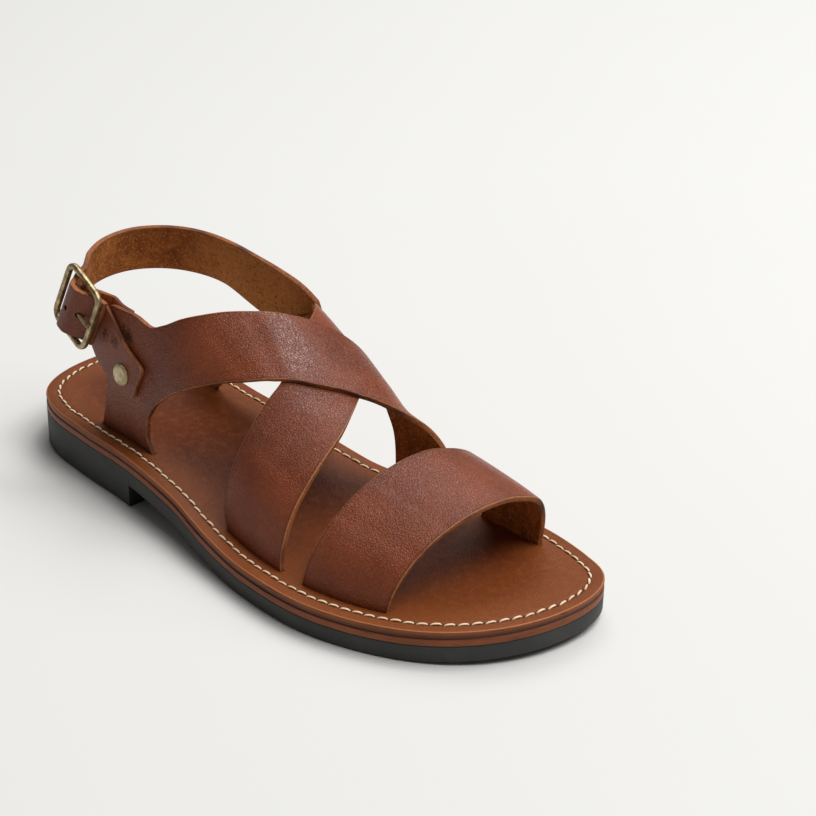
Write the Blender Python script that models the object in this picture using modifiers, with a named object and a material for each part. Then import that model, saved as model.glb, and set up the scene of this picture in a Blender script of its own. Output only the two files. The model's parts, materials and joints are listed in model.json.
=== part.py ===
"""Leather crossover sandal, right shoe: +X to the toe, +Y to the inner side, +Z up.

Lengths below are in millimetres along the sole: x runs from the back of the heel to the tip of the toe,
y is positive towards the inner side of the foot, z is the height above the floor. Each point is turned into
metres, with the origin under the middle of the sole, when it is placed.
"""

import math

import bmesh
import bpy
import numpy as np
from mathutils import Matrix, Vector

MM = 0.001
GAP = 0.3

# Sole
SOLE_LENGTH = 280.0
RUBBER = 6.8
MIDSOLE = 3.0
FOOTBED = 3.1
HEEL_BREAST = 0.304
SHANK_RISE = 9.3
SHANK_END = 0.60
SPRING_START = 0.78
TOE_SPRING = 3.0
STATIONS = 44
SOLE_COLUMNS = 4

# Straps
STRAP = 2.2
SEAT_DEPTH = 2.6
SLOT_INSET = 10.0
LAP = STRAP - 0.15
CLIMB = 30.0

# Buckle, with its middle on the outer side of the heel
BUCKLE_AT = (44.1, -40.3, 72.9)
BUCKLE_YAW = -8.0
BUCKLE_SLOPE = 20.0
BUCKLE_LEAN = 9.0
BUCKLE_LENGTH = 27.0
BUCKLE_WIDTH = 29.2
BUCKLE_CORNER = 5.4
WIRE = 1.3
BAR = 1.1
PRONG = 0.8
CHAPE = 1.6
PRONG_LINE = 2.3
HOLE = 1.4

# Rivets
RIVET_CAP = 4.3
RIVET_DOME = 1.3
RIVET_SHANK = 1.5


def table(columns, *rows):
    """Return a table as one array for each named column."""
    return dict(zip(columns.split(), np.array(rows, float).T))


# Fullness of the sole on each side, at stations from heel to toe
SOLE = table(
    "station lateral medial",
    (0.00, 98, 100),
    (0.08, 75, 68),
    (0.18, 61, 43),
    (0.29, 56, 31),
    (0.40, 57, 26),
    (0.51, 63, 27),
    (0.62, 71, 34),
    (0.73, 79, 42),
    (0.83, 84, 48),
    (0.92, 89, 54),
    (1.00, 93, 71),
)

# The last: height of the foot, where its crest lies across, how far its inner wall swells,
# and how far the inner slot lies inside the edge
LAST = table(
    "x rise crest swell inset",
    (10, 150, 0.50, 6, 12),
    (60, 123, 0.50, 8, 12),
    (100, 82, 0.58, 13, 9),
    (115, 72, 0.63, 13, 7),
    (130, 64.5, 0.68, 12, 7),
    (145, 57.5, 0.70, 9.5, 6.5),
    (160, 50, 0.70, 6, 7),
    (175, 43.5, 0.66, 3.5, 8),
    (202, 38, 0.62, 2.5, 9.5),
    (240, 30.5, 0.62, 2, 10),
    (275, 22, 0.62, 1, 10),
)
OUTER_FULLNESS = 1.9
INNER_FULLNESS = 2.4

# Band over the toes: its two edges along the sole, at places across the last
TOE_BAND = table(
    "across rear front",
    (0.00, 194, 231),
    (0.10, 196, 232.6),
    (0.20, 197.4, 234.3),
    (0.34, 199.4, 237),
    (0.42, 200.6, 238.8),
    (0.52, 202.4, 241),
    (0.65, 206, 243),
    (0.80, 207, 241.5),
    (1.00, 207, 239),
)

# Strap that lies on top: outer quarter and its lug, over the crossing, to the inner side of the forefoot
OVER_STRAP = table(
    "rear rear_across front front_across",
    (53, 0.000, 89.5, 0.000),
    (55.5, 0.025, 85.5, 0.022),
    (57, 0.055, 86, 0.045),
    (57, 0.085, 88, 0.060),
    (57, 0.115, 90, 0.072),
    (58, 0.141, 92, 0.083),
    (66, 0.153, 94, 0.092),
    (75, 0.167, 97, 0.106),
    (83.5, 0.179, 101, 0.126),
    (91, 0.210, 107, 0.153),
    (99, 0.261, 116, 0.196),
    (107, 0.316, 124, 0.237),
    (117.5, 0.402, 136, 0.303),
    (127.5, 0.492, 148, 0.383),
    (134, 0.552, 159, 0.451),
    (140, 0.615, 168, 0.510),
    (146, 0.700, 177, 0.610),
    (154, 0.790, 184.5, 0.740),
    (161, 0.880, 190, 0.880),
    (164, 1.000, 192, 1.000),
)

# Strap that lies below: outer side of the midfoot, under the crossing, to the inner quarter
UNDER_STRAP = table(
    "rear rear_across front front_across",
    (146, 0.000, 182, 0.000),
    (143, 0.050, 181.4, 0.045),
    (143.5, 0.130, 180.8, 0.125),
    (145, 0.237, 179.5, 0.244),
    (145, 0.340, 176, 0.375),
    (140, 0.430, 169, 0.470),
    (134.3, 0.510, 161, 0.550),
    (129.5, 0.578, 155, 0.605),
    (124.5, 0.634, 149, 0.675),
    (119.6, 0.682, 143, 0.750),
    (116.4, 0.735, 136.5, 0.807),
    (112.6, 0.776, 129, 0.861),
    (108.2, 0.804, 121, 0.902),
    (101, 0.840, 111, 0.932),
    (86, 0.889, 99, 0.953),
    (68, 0.928, 86, 0.971),
    (48, 0.959, 74, 0.986),
    (35, 1.000, 63, 1.000),
)

# Heel strap from its riveted end on the inner side, round the back, to the buckle
HEEL_STRAP = table(
    "x y z width hug",
    (116, 27, 70, 13, 1.0),
    (114, 27, 70, 20.4, 1.0),
    (111, 27, 69.5, 25.2, 1.0),
    (103, 27, 69.8, 27.3, 1.0),
    (93, 27, 72.5, 25.1, 1.0),
    (82, 27, 75.4, 23.4, 1.0),
    (71, 27, 78.3, 22.4, 0.7),
    (58, 27, 79.1, 22.2, 0.1),
    (45, 25.5, 79.2, 21.8, 0.0),
    (34, 21, 79.2, 21.2, 0.0),
    (25.5, 13.5, 79.0, 20.8, 0.0),
    (20.6, 4, 78.8, 20.6, 0.0),
    (19.9, -6, 78.3, 20.2, 0.0),
    (22.4, -15, 77.9, 20.0, 0.0),
    (27.6, -23.6, 77.4, 20.2, 0.0),
)
HEEL_LEAN = 12.0

# The heel strap's way through the buckle: along the frame and out of its plane
BUCKLE_RUN = table(
    "along out",
    (-13.0, -7.6),
    (-10.2, -3.4),
    (-6.0, 0.9),
    (-2.0, 4.6),
    (2.0, 4.6),
    (6.0, 1.0),
    (11.2, -3.2),
    (12.6, -3.3),
)
BUCKLED_WIDTH = 21.6

# Chape: each leg from the buckle's bar to its end, on the wall of the outer quarter
CHAPE_OUTER = table(
    "x z off tilt half",
    (81.1, 49.6, 1.2, 24, 8.2),
    (75.5, 51.2, 1.2, 24, 9.0),
    (69.0, 53.4, 1.2, 24, 10.0),
    (63.0, 57.6, 1.2, 24, 11.0),
    (57.5, 62.0, 1.2, 23, 11.8),
    (53.0, 66.2, 1.3, 22, 11.2),
    (49.0, 69.6, 3.2, 21, 9.4),
)
CHAPE_INNER = table(
    "x z off tilt half",
    (47.8, 71.4, 0.4, 21, 9.2),
    (51.0, 70.0, -1.8, 18, 9.8),
    (55.0, 67.8, -3.4, 13, 11.2),
    (60.0, 65.0, -3.4, 8, 12.4),
    (66.0, 63.0, -3.4, 0, 13.8),
    (72.0, 61.6, -3.4, -10.5, 15.2),
)
RIVET_LATERAL_AT = (70.1, 50.6)
RIVET_MEDIAL_AT = (103.0, 60.5)


def ease(rows, key, column, at):
    """Monotone cubic through one column of a table."""
    knots, values = rows[key], rows[column]
    steps = np.diff(knots)
    grades = np.diff(values) / steps
    slopes = np.empty_like(values)
    slopes[0], slopes[-1] = grades[0], grades[-1]
    for i in range(1, len(knots) - 1):
        before, after = grades[i - 1], grades[i]
        slopes[i] = 0.0 if before * after <= 0 else 2 * before * after / (before + after)
    at = np.clip(at, knots[0], knots[-1])
    i = np.clip(np.searchsorted(knots, at) - 1, 0, len(steps) - 1)
    t = (at - knots[i]) / steps[i]
    rise = values[i] * (1 + 2 * t) * (1 - t) ** 2 + values[i + 1] * t * t * (3 - 2 * t)
    return rise + steps[i] * (slopes[i] * t * (1 - t) ** 2 + slopes[i + 1] * t * t * (t - 1))


def along(rows, column, share):
    """Value of a column at a share, 0 to 1, of the way down a table's rows."""
    count = len(rows[column])
    steps = {"row": np.arange(count, dtype=float), "value": rows[column]}
    return float(ease(steps, "row", "value", share * (count - 1)))


def smooth(low, high, value):
    """Step from 0 to 1 with level ends."""
    t = np.clip((value - low) / (high - low), 0, 1)
    return t * t * (3 - 2 * t)


# Sole: outline and heights

def sole_edges(u):
    """Outer and inner edge of the sole at a station."""
    girth = 2 * math.sqrt(max(u * (1 - u), 0.0))
    return (
        -girth * float(ease(SOLE, "station", "lateral", u)),
        girth * float(ease(SOLE, "station", "medial", u)),
    )


def shank_height(u):
    """Underside of the sole in front of the heel, carried on over the heel."""
    drop = 1 - smooth(HEEL_BREAST, SHANK_END, u)
    spring = max((u - SPRING_START) / (1 - SPRING_START), 0.0)
    return float(SHANK_RISE * drop + TOE_SPRING * spring**2)


def footbed_height(x):
    """Top of the footbed at a place along the sole."""
    return shank_height(min(max(x / SOLE_LENGTH, 0.0), 1.0)) + RUBBER + MIDSOLE + FOOTBED


STATION_LIST = sorted(
    {(1 - math.cos(math.pi * k / STATIONS)) / 2 for k in range(STATIONS + 1)} | {HEEL_BREAST}
)
EDGE_LIST = [sole_edges(u) for u in STATION_LIST]
MID_X = SOLE_LENGTH / 2
MID_Y = (min(e[0] for e in EDGE_LIST) + max(e[1] for e in EDGE_LIST)) / 2


def place(point):
    """A point of the sandal in metres, from the middle of the sole."""
    return Vector(((point[0] - MID_X) * MM, (point[1] - MID_Y) * MM, point[2] * MM))


# The last: arched sections over the footbed, from the outer slot to the inner one

def slot_lines(x):
    """Where the straps meet the footbed on the outer and the inner side."""
    lateral, medial = sole_edges(min(max(x / SOLE_LENGTH, 0.0), 1.0))
    return lateral + SLOT_INSET, medial - float(ease(LAST, "x", "inset", x))


def last_surface(x, across):
    """Point on the last, across from 0 at the outer slot to 1 at the inner one."""
    outer, inner = slot_lines(x)
    crest = outer + (inner - outer) * float(ease(LAST, "x", "crest", x))
    rise = float(ease(LAST, "x", "rise", x))
    turn = math.pi * across
    reach, lift = abs(math.cos(turn)), max(math.sin(turn), 0.0)
    if across < 0.5:
        y = crest - (crest - outer) * reach ** (2 / OUTER_FULLNESS)
        return np.array((x, y, footbed_height(x) + rise * lift))
    swell = float(ease(LAST, "x", "swell", x)) * math.sin(2 * math.pi * (1 - across))
    y = crest + (inner - crest) * reach ** (2 / INNER_FULLNESS) + swell
    return np.array((x, y, footbed_height(x) + rise * lift ** (2 / INNER_FULLNESS)))


def last_point(x, across, off=0.0):
    """Point at a distance off the last, outward."""
    here = last_surface(x, across)
    if off == 0.0:
        return here
    low, high = max(across - 0.004, 0.0), min(across + 0.004, 1.0)
    run = last_surface(x + 0.5, across) - last_surface(x - 0.5, across)
    rise = last_surface(x, high) - last_surface(x, low)
    normal = np.cross(run, rise)
    return here + normal * (off / np.linalg.norm(normal))


def wall_across(x, z, inner):
    """Place across the last at which its outer or inner wall has this height."""
    low, high = (0.5, 1.0) if inner else (0.0, 0.5)
    for _ in range(40):
        middle = (low + high) / 2
        above = last_surface(x, middle)[2] > z
        if above == inner:
            low = middle
        else:
            high = middle
    return (low + high) / 2


def wall_point(x, z, off, inner=False):
    """Point off the wall of the last at a place along the sole and a height."""
    return last_point(x, wall_across(x, z, inner), off)


# Building blocks

def clear_scene():
    """Remove every object of the scene."""
    for obj in list(bpy.data.objects):
        bpy.data.objects.remove(obj, do_unlink=True)


def collection(name, hidden=False):
    """A new collection under the scene's own."""
    made = bpy.data.collections.new(name)
    made.hide_render = hidden
    bpy.context.scene.collection.children.link(made)
    return made


def finish(name, color, roughness, metallic=0.0):
    """A plain surface of one colour."""
    made = bpy.data.materials.new(name)
    made.use_nodes = True
    shader = made.node_tree.nodes["Principled BSDF"]
    shader.inputs["Base Color"].default_value = (*color, 1.0)
    shader.inputs["Roughness"].default_value = roughness
    shader.inputs["Metallic"].default_value = metallic
    return made


def solid(name, mesh_data, home, material=None, shaded=True):
    """An object of a mesh, in a collection."""
    obj = bpy.data.objects.new(name, mesh_data)
    home.objects.link(obj)
    if material:
        mesh_data.materials.append(material)
    if shaded:
        mesh_data.shade_smooth()
        mesh_data.set_sharp_from_angle(angle=math.radians(40))
    if home.hide_render:
        obj.hide_render = True
        obj.display_type = "WIRE"
    return obj


def loft(name, sections, closed=False):
    """A mesh lofted from one section to the next, each a row of as many points."""
    shape = bmesh.new()
    rows = [[shape.verts.new(place(p)) for p in section] for section in sections]
    for here, after in zip(rows, rows[1:]):
        for j in range(len(here) - (not closed)):
            k = (j + 1) % len(here)
            shape.faces.new((here[j], here[k], after[k], after[j]))
    return from_bmesh(name, shape)


def from_bmesh(name, shape):
    """A mesh from an edited shape, with doubled points joined."""
    bmesh.ops.remove_doubles(shape, verts=shape.verts, dist=1e-6)
    bmesh.ops.dissolve_degenerate(shape, edges=shape.edges, dist=1e-7)
    made = bpy.data.meshes.new(name)
    shape.to_mesh(made)
    shape.free()
    return made


def thicken(obj, thickness, offset=-1.0):
    """Give an open sheet its wall, grown inward from its face."""
    wall = obj.modifiers.new("wall", "SOLIDIFY")
    wall.thickness = thickness * MM
    wall.offset = offset
    wall.use_even_offset = True
    wall.use_quality_normals = True


def cut(obj, cutter, operation="DIFFERENCE"):
    """Cut or join one closed shape with another."""
    step = obj.modifiers.new(cutter.name, "BOOLEAN")
    step.operation = operation
    step.solver = "EXACT"
    step.object = cutter


def wire(name, points, radius, home, material, cyclic=False):
    """A round wire along a line of points."""
    line = bpy.data.curves.new(name, "CURVE")
    line.dimensions = "3D"
    line.bevel_depth = radius * MM
    line.bevel_resolution = 2
    line.use_fill_caps = not cyclic
    spline = line.splines.new("POLY")
    spline.points.add(len(points) - 1)
    for knot, point in zip(spline.points, points):
        knot.co = (*place(point), 1.0)
    spline.use_cyclic_u = cyclic
    drawn = bpy.data.objects.new(name + "_line", line)
    home.objects.link(drawn)
    bpy.context.view_layer.update()
    evaluated = drawn.evaluated_get(bpy.context.evaluated_depsgraph_get())
    shape = bmesh.new()
    shape.from_mesh(bpy.data.meshes.new_from_object(evaluated))
    bpy.data.objects.remove(drawn, do_unlink=True)
    bmesh.ops.remove_doubles(shape, verts=shape.verts, dist=1e-6)
    bmesh.ops.recalc_face_normals(shape, faces=shape.faces)
    return solid(name, from_bmesh(name, shape), home, material)


def rod(name, start, end, radius, home, material=None, sides=16):
    """A straight round bar between two points."""
    a, b = place(start), place(end)
    shape = bmesh.new()
    bmesh.ops.create_cone(
        shape,
        cap_ends=True,
        segments=sides,
        radius1=radius * MM,
        radius2=radius * MM,
        depth=(b - a).length,
    )
    turn = (b - a).to_track_quat("Z", "Y").to_matrix().to_4x4()
    bmesh.ops.transform(shape, matrix=Matrix.Translation((a + b) / 2) @ turn, verts=shape.verts)
    return solid(name, from_bmesh(name, shape), home, material)


# Sole layers

def sole_section(u, low, high, columns):
    """A closed section of a sole layer: across its underside, then back across its top."""
    outer, inner = sole_edges(u)
    x = u * SOLE_LENGTH
    ys = [outer + (inner - outer) * j / columns for j in range(columns + 1)]
    return [(x, y, low) for y in ys] + [(x, y, high) for y in reversed(ys)]


def layer(name, low, high, home, material):
    """A sole layer between two heights over the shank line."""
    sections = []
    for u in STATION_LIST:
        base = shank_height(u)
        sections.append(sole_section(u, base + low, base + high, SOLE_COLUMNS))
    return solid(name, loft(name, sections, closed=True), home, material)


def outsole(home, material):
    """Rubber sole with its heel block, the block's front wall standing straight under the shank."""
    shape = bmesh.new()
    rows = []
    for u in STATION_LIST:
        base = shank_height(u)
        section = sole_section(u, base, base + RUBBER, SOLE_COLUMNS)
        rows.append([shape.verts.new(place(p)) for p in section])
    heel = [k for k, u in enumerate(STATION_LIST) if u <= HEEL_BREAST + 1e-9]
    floor = []
    for k in heel:
        section = sole_section(STATION_LIST[k], 0.0, 0.0, SOLE_COLUMNS)[: SOLE_COLUMNS + 1]
        floor.append([shape.verts.new(place(p)) for p in section])
    count = 2 * (SOLE_COLUMNS + 1)
    for k, (here, after) in enumerate(zip(rows, rows[1:])):
        under_heel = k < heel[-1]
        for j in range(count):
            n = (j + 1) % count
            if under_heel and j < SOLE_COLUMNS:
                continue
            shape.faces.new((here[j], here[n], after[n], after[j]))
    for k, (here, after) in enumerate(zip(floor, floor[1:])):
        for j in range(SOLE_COLUMNS):
            shape.faces.new((here[j], here[j + 1], after[j + 1], after[j]))
        shape.faces.new((rows[k][0], here[0], after[0], rows[k + 1][0]))
        side = SOLE_COLUMNS
        shape.faces.new((rows[k][side], rows[k + 1][side], after[-1], here[-1]))
    breast = rows[heel[-1]]
    for j in range(SOLE_COLUMNS):
        shape.faces.new((floor[-1][j], floor[-1][j + 1], breast[j + 1], breast[j]))
    made = from_bmesh("outsole", shape)
    return solid("outsole", made, home, material)


# Straps

def climb(x, across):
    """How far the strap on top stands off the last where it climbs onto the strap below."""
    rear = float(ease(UNDER_STRAP, "rear_across", "rear", across))
    front = float(ease(UNDER_STRAP, "front_across", "front", across))
    onto = smooth(rear - CLIMB, rear - 4, x)
    down = smooth(front + 4, front + CLIMB, x)
    return float(LAP * onto * (1 - down))


def ribs(rows, count, across, over=False):
    """Sections of a strap, from its outer landing to its inner one, down into the slots at both ends."""
    sections = []
    for i in range(count + 1):
        share = i / count
        ends = [along(rows, c, share) for c in ("rear", "rear_across", "front", "front_across")]
        section = []
        for j in range(across + 1):
            w = j / across
            x = ends[0] + (ends[2] - ends[0]) * w
            t = ends[1] + (ends[3] - ends[1]) * w
            section.append(last_point(x, t, climb(x, t) if over else 0.0))
        sections.append(section)
    return seated(sections)


def seated(sections):
    """Sections of a strap with its ends carried down into the footbed's slots."""
    down = np.array((0.0, 0.0, -SEAT_DEPTH))
    return [[p + down for p in sections[0]], *sections, [p + down for p in sections[-1]]]


def toe_ribs(count, across):
    """Sections of the band over the toes."""
    sections = []
    for i in range(count + 1):
        t = i / count
        rear = float(ease(TOE_BAND, "across", "rear", t))
        front = float(ease(TOE_BAND, "across", "front", t))
        xs = [rear + (front - rear) * j / across for j in range(across + 1)]
        sections.append([last_point(x, t) for x in xs])
    return seated(sections)


def strap(name, sections, home, material):
    """A strap with its thickness."""
    obj = solid(name, loft(name, sections), home, material)
    thicken(obj, STRAP)
    return obj


def slot(name, rear, front, inner, home):
    """Cutter for the slot that a strap goes down through, a little wider than the strap."""
    sections = []
    out = GAP if inner else -GAP
    count = 6
    for i in range(count + 1):
        x = rear - GAP + (front - rear + 2 * GAP) * i / count
        y = slot_lines(x)[1 if inner else 0] + out
        z = footbed_height(x)
        ends = (z - 2 * FOOTBED, z + FOOTBED)
        sections.append([(x, y, h) for h in (ends if inner else reversed(ends))])
    obj = solid(name, loft(name, sections), home, shaded=False)
    thicken(obj, STRAP + 2 * GAP)
    return obj


# Buckle frame of reference: along the strap, across it, and out of the frame

def buckle_axes():
    """Unit directions of the buckle: along the strap to the front, up across it, and outward."""
    yaw, slope, lean = (math.radians(a) for a in (BUCKLE_YAW, BUCKLE_SLOPE, BUCKLE_LEAN))
    forward = np.array((math.cos(yaw), math.sin(yaw), 0.0))
    outward = np.array((math.sin(yaw), -math.cos(yaw), 0.0))
    upward = np.array((0.0, 0.0, math.cos(lean))) - outward * math.sin(lean)
    run = forward * math.cos(slope) - upward * math.sin(slope)
    across = upward * math.cos(slope) + forward * math.sin(slope)
    return run, across, np.cross(run, across)


RUN, ACROSS, OUT = buckle_axes()


def in_buckle(s, w, n):
    """Point at distances along, across and out of the buckle's frame."""
    return np.array(BUCKLE_AT) + RUN * s + ACROSS * w + OUT * n


def heel_sections(count, across):
    """Sections of the heel strap's outer face, from its end on the inner side through the buckle."""
    sections = []
    for i in range(count + 1):
        share = i / count
        x, y, z, width, hug = (along(HEEL_STRAP, c, share) for c in ("x", "y", "z", "width", "hug"))
        step = 0.002
        low, high = max(share - step, 0.0), min(share + step, 1.0)
        heading = np.array([along(HEEL_STRAP, c, high) - along(HEEL_STRAP, c, low) for c in "xy"])
        heading /= np.linalg.norm(heading)
        inward = np.array((-heading[1], heading[0]))
        if inward @ np.array((50.0 - x, -5.0 - y)) < 0:
            inward = -inward
        section = []
        for j in range(across + 1):
            h = width * (0.5 - j / across)
            lean = math.radians(HEEL_LEAN)
            tucked = inward * h * math.sin(lean)
            point = np.array((x + tucked[0], y + tucked[1], z + h * math.cos(lean)))
            if hug > 0:
                near = wall_point(point[0], point[2], STRAP + GAP, inner=True)
                point = point * (1 - hug) + near * hug
            section.append(point)
        sections.append(section)
    run = BUCKLE_RUN["along"]
    for i in range(27):
        s = run[0] + (run[-1] - run[0]) * i / 26
        n = float(ease(BUCKLE_RUN, "along", "out", s)) + STRAP / 2
        sections.append([in_buckle(s, BUCKLED_WIDTH * (0.5 - j / across), n) for j in range(across + 1)])
    return sections


def buckle_block(name, low, high, home):
    """A block between two corners given along, across and out of the buckle's frame."""
    shape = bmesh.new()
    bmesh.ops.create_cube(shape, size=1.0)
    sizes = [b - a for a, b in zip(low, high)]
    middle = in_buckle(*[(a + b) / 2 for a, b in zip(low, high)])
    columns = [Vector(axis * size * MM) for axis, size in zip((RUN, ACROSS, OUT), sizes)]
    turn = Matrix(columns).transposed().to_4x4()
    bmesh.ops.transform(shape, matrix=Matrix.Translation(place(middle)) @ turn, verts=shape.verts)
    return solid(name, from_bmesh(name, shape), home, shaded=False)


def chape_sections(count, across):
    """Sections of the chape's outer face: up its outer leg, round the bar, and down its inner leg."""
    def leg(rows, share):
        names = ("x", "z", "off", "tilt", "half")
        x, z, off, tilt, half = (along(rows, c, share) for c in names)
        lean = math.radians(tilt)
        section = []
        for j in range(across + 1):
            h = half * (2 * j / across - 1)
            section.append(wall_point(x + h * math.sin(lean), z + h * math.cos(lean), off))
        return section

    sections = [leg(CHAPE_OUTER, i / count) for i in range(count + 1)]
    radius = BAR + GAP + CHAPE / 2
    half = CHAPE_OUTER["half"][-1]
    for i in range(9):
        turn = math.radians(46 + 198 * i / 8)
        s, n = radius * math.cos(turn), radius * math.sin(turn)
        sections.append([in_buckle(s, half * (2 * j / across - 1), n) for j in range(across + 1)])
    sections += [leg(CHAPE_INNER, i / count) for i in range(count + 1)]
    return sections


def buckle_frame(home, tools, material):
    """Rounded frame of wire with a bar across its middle."""
    reach_s, reach_w = BUCKLE_LENGTH / 2 - WIRE, BUCKLE_WIDTH / 2 - WIRE
    corner = BUCKLE_CORNER - WIRE
    points = []
    for quarter in range(4):
        cs = (1, -1, -1, 1)[quarter] * (reach_s - corner)
        cw = (1, 1, -1, -1)[quarter] * (reach_w - corner)
        for i in range(6):
            turn = math.radians(90 * quarter + 18 * i)
            points.append(in_buckle(cs + corner * math.cos(turn), cw + corner * math.sin(turn), 0.0))
    frame = wire("buckle_frame", points, WIRE, home, material, cyclic=True)
    bar = rod("bar", in_buckle(0, -reach_w, 0), in_buckle(0, reach_w, 0), BAR, tools, sides=12)
    cut(frame, bar, "UNION")
    return frame


def prong(home, material):
    """Tongue of the buckle: an eye most of the way round the bar, and an arm that lies on the frame."""
    eye = BAR + GAP + PRONG
    points = []
    for i in range(13):
        turn = math.radians(-210 + 300 * i / 12)
        points.append(in_buckle(eye * math.cos(turn), 0.0, eye * math.sin(turn)))
    tip = BUCKLE_LENGTH / 2 - WIRE
    rest = WIRE + GAP + PRONG
    for i in range(1, 6):
        share = i / 5
        points.append(in_buckle((tip + 1.0) * share, 0.0, eye + (rest - eye) * share))
    return wire("buckle_prong", points, PRONG, home, material)


def rivet(name, at, outward, low, high, home, material):
    """A rivet with a domed cap on each side of the leather it goes through."""
    profile = [
        (0.0, high + RIVET_DOME),
        (RIVET_CAP * 0.5, high + RIVET_DOME * 0.86),
        (RIVET_CAP * 0.85, high + RIVET_DOME * 0.45),
        (RIVET_CAP, high + GAP),
        (RIVET_SHANK, high + GAP),
        (RIVET_SHANK, low - GAP),
        (RIVET_CAP * 0.9, low - GAP),
        (RIVET_CAP * 0.75, low - RIVET_DOME * 0.7),
        (0.0, low - RIVET_DOME),
    ]
    shape = bmesh.new()
    knots = [shape.verts.new((r * MM, 0.0, h * MM)) for r, h in profile]
    for a, b in zip(knots, knots[1:]):
        shape.edges.new((a, b))
    made = bpy.data.meshes.new(name)
    shape.to_mesh(made)
    shape.free()
    obj = solid(name, made, home, material)
    obj.location = place(at)
    obj.rotation_mode = "QUATERNION"
    obj.rotation_quaternion = Vector(outward).to_track_quat("Z", "Y")
    turn = obj.modifiers.new("turn", "SCREW")
    turn.steps = 18
    turn.render_steps = 18
    turn.use_merge_vertices = True
    turn.merge_threshold = 1e-5
    turn.use_smooth_shade = True
    return obj


def wall_normal(x, z, inner):
    """Outward direction of the last's wall."""
    across = wall_across(x, z, inner)
    out = last_point(x, across, 1.0) - last_point(x, across)
    return out / np.linalg.norm(out)


def main():
    """Build the sandal."""
    clear_scene()
    parts = collection("leather_sandal")
    tools = collection("cutters", hidden=True)

    rubber = finish("rubber", (0.026, 0.026, 0.024), 0.75)
    edge = finish("edge_leather", (0.155, 0.060, 0.022), 0.55)
    bed = finish("bed_leather", (0.160, 0.052, 0.018), 0.50)
    upper = finish("upper_leather", (0.140, 0.040, 0.024), 0.42)
    brass = finish("brass", (0.320, 0.230, 0.110), 0.38, 1.0)

    outsole(parts, rubber)
    layer("midsole", RUBBER + GAP * 0.1, RUBBER + MIDSOLE, parts, edge)
    footbed = layer("footbed", RUBBER + MIDSOLE + GAP * 0.1, RUBBER + MIDSOLE + FOOTBED, parts, bed)

    toe = strap("toe_strap", toe_ribs(34, 5), parts, upper)
    under = strap("under_strap", ribs(UNDER_STRAP, 50, 5), tools, upper)
    over = strap("instep_straps", ribs(OVER_STRAP, 60, 6, over=True), parts, upper)
    cut(over, under, "UNION")

    landings = (
        ("toe_lateral", TOE_BAND["rear"][0], TOE_BAND["front"][0], False),
        ("toe_medial", TOE_BAND["rear"][-1], TOE_BAND["front"][-1], True),
        ("over_lateral", OVER_STRAP["rear"][0], OVER_STRAP["front"][0], False),
        ("over_medial", OVER_STRAP["rear"][-1], OVER_STRAP["front"][-1], True),
        ("under_lateral", UNDER_STRAP["rear"][0], UNDER_STRAP["front"][0], False),
        ("under_medial", UNDER_STRAP["rear"][-1], UNDER_STRAP["front"][-1], True),
    )
    for name, rear, front, inner in landings:
        cut(footbed, slot("slot_" + name, rear, front, inner, tools))

    heel = strap("heel_strap", heel_sections(50, 4), parts, upper)
    chape = solid("chape", loft("chape", chape_sections(14, 4)), parts, upper)
    thicken(chape, CHAPE, 0.0)
    buckle_frame(parts, tools, brass)
    prong(parts, brass)

    reach = PRONG + GAP
    cut(chape, buckle_block("prong_slot", (-4.2, -reach, -5.0), (6.6, reach, 4.2), tools))
    cut(heel, rod("prong_hole", in_buckle(1.2, 0, PRONG_LINE), in_buckle(10, 0, PRONG_LINE), HOLE, tools))
    cut(heel, rod("spare_hole", in_buckle(0.0, 0, 2.4), in_buckle(0.0, 0, 8.0), HOLE * 0.8, tools))

    x, z = RIVET_LATERAL_AT
    out = wall_normal(x, z, False)
    at = wall_point(x, z, 0.0)
    bore = rod("bore_lateral", at - out * 9, at + out * 9, RIVET_SHANK + GAP, tools)
    cut(over, bore)
    cut(chape, bore)
    rivet("rivet_lateral", at, out, -3.4 - CHAPE / 2, 1.2 + CHAPE / 2, parts, brass)

    x, z = RIVET_MEDIAL_AT
    out = wall_normal(x, z, True)
    at = wall_point(x, z, 0.0, inner=True)
    bore = rod("bore_medial", at - out * 9, at + out * 9, RIVET_SHANK + GAP, tools)
    cut(over, bore)
    cut(heel, bore)
    rivet("rivet_medial", at, out, -STRAP, STRAP + GAP, parts, brass)


main()
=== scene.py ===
"""Looks of a leather sandal.

It has crossed straps, a toe band, a buckled heel strap, a stitched footbed and a rubber sole.

Lengths in the tables are millimetres along the sole: x from the back of the heel to the tip of
the toe, y to the inner side of the foot, z up from the floor. Each piece is turned into metres,
with the origin under the middle of the sole, when its mesh is placed.
"""

import json
import logging
import math
from dataclasses import dataclass, field, replace
from enum import Enum
from typing import Any, Optional, Sequence, Union

import bpy
import numpy as np
from mathutils import Matrix, Vector

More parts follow.
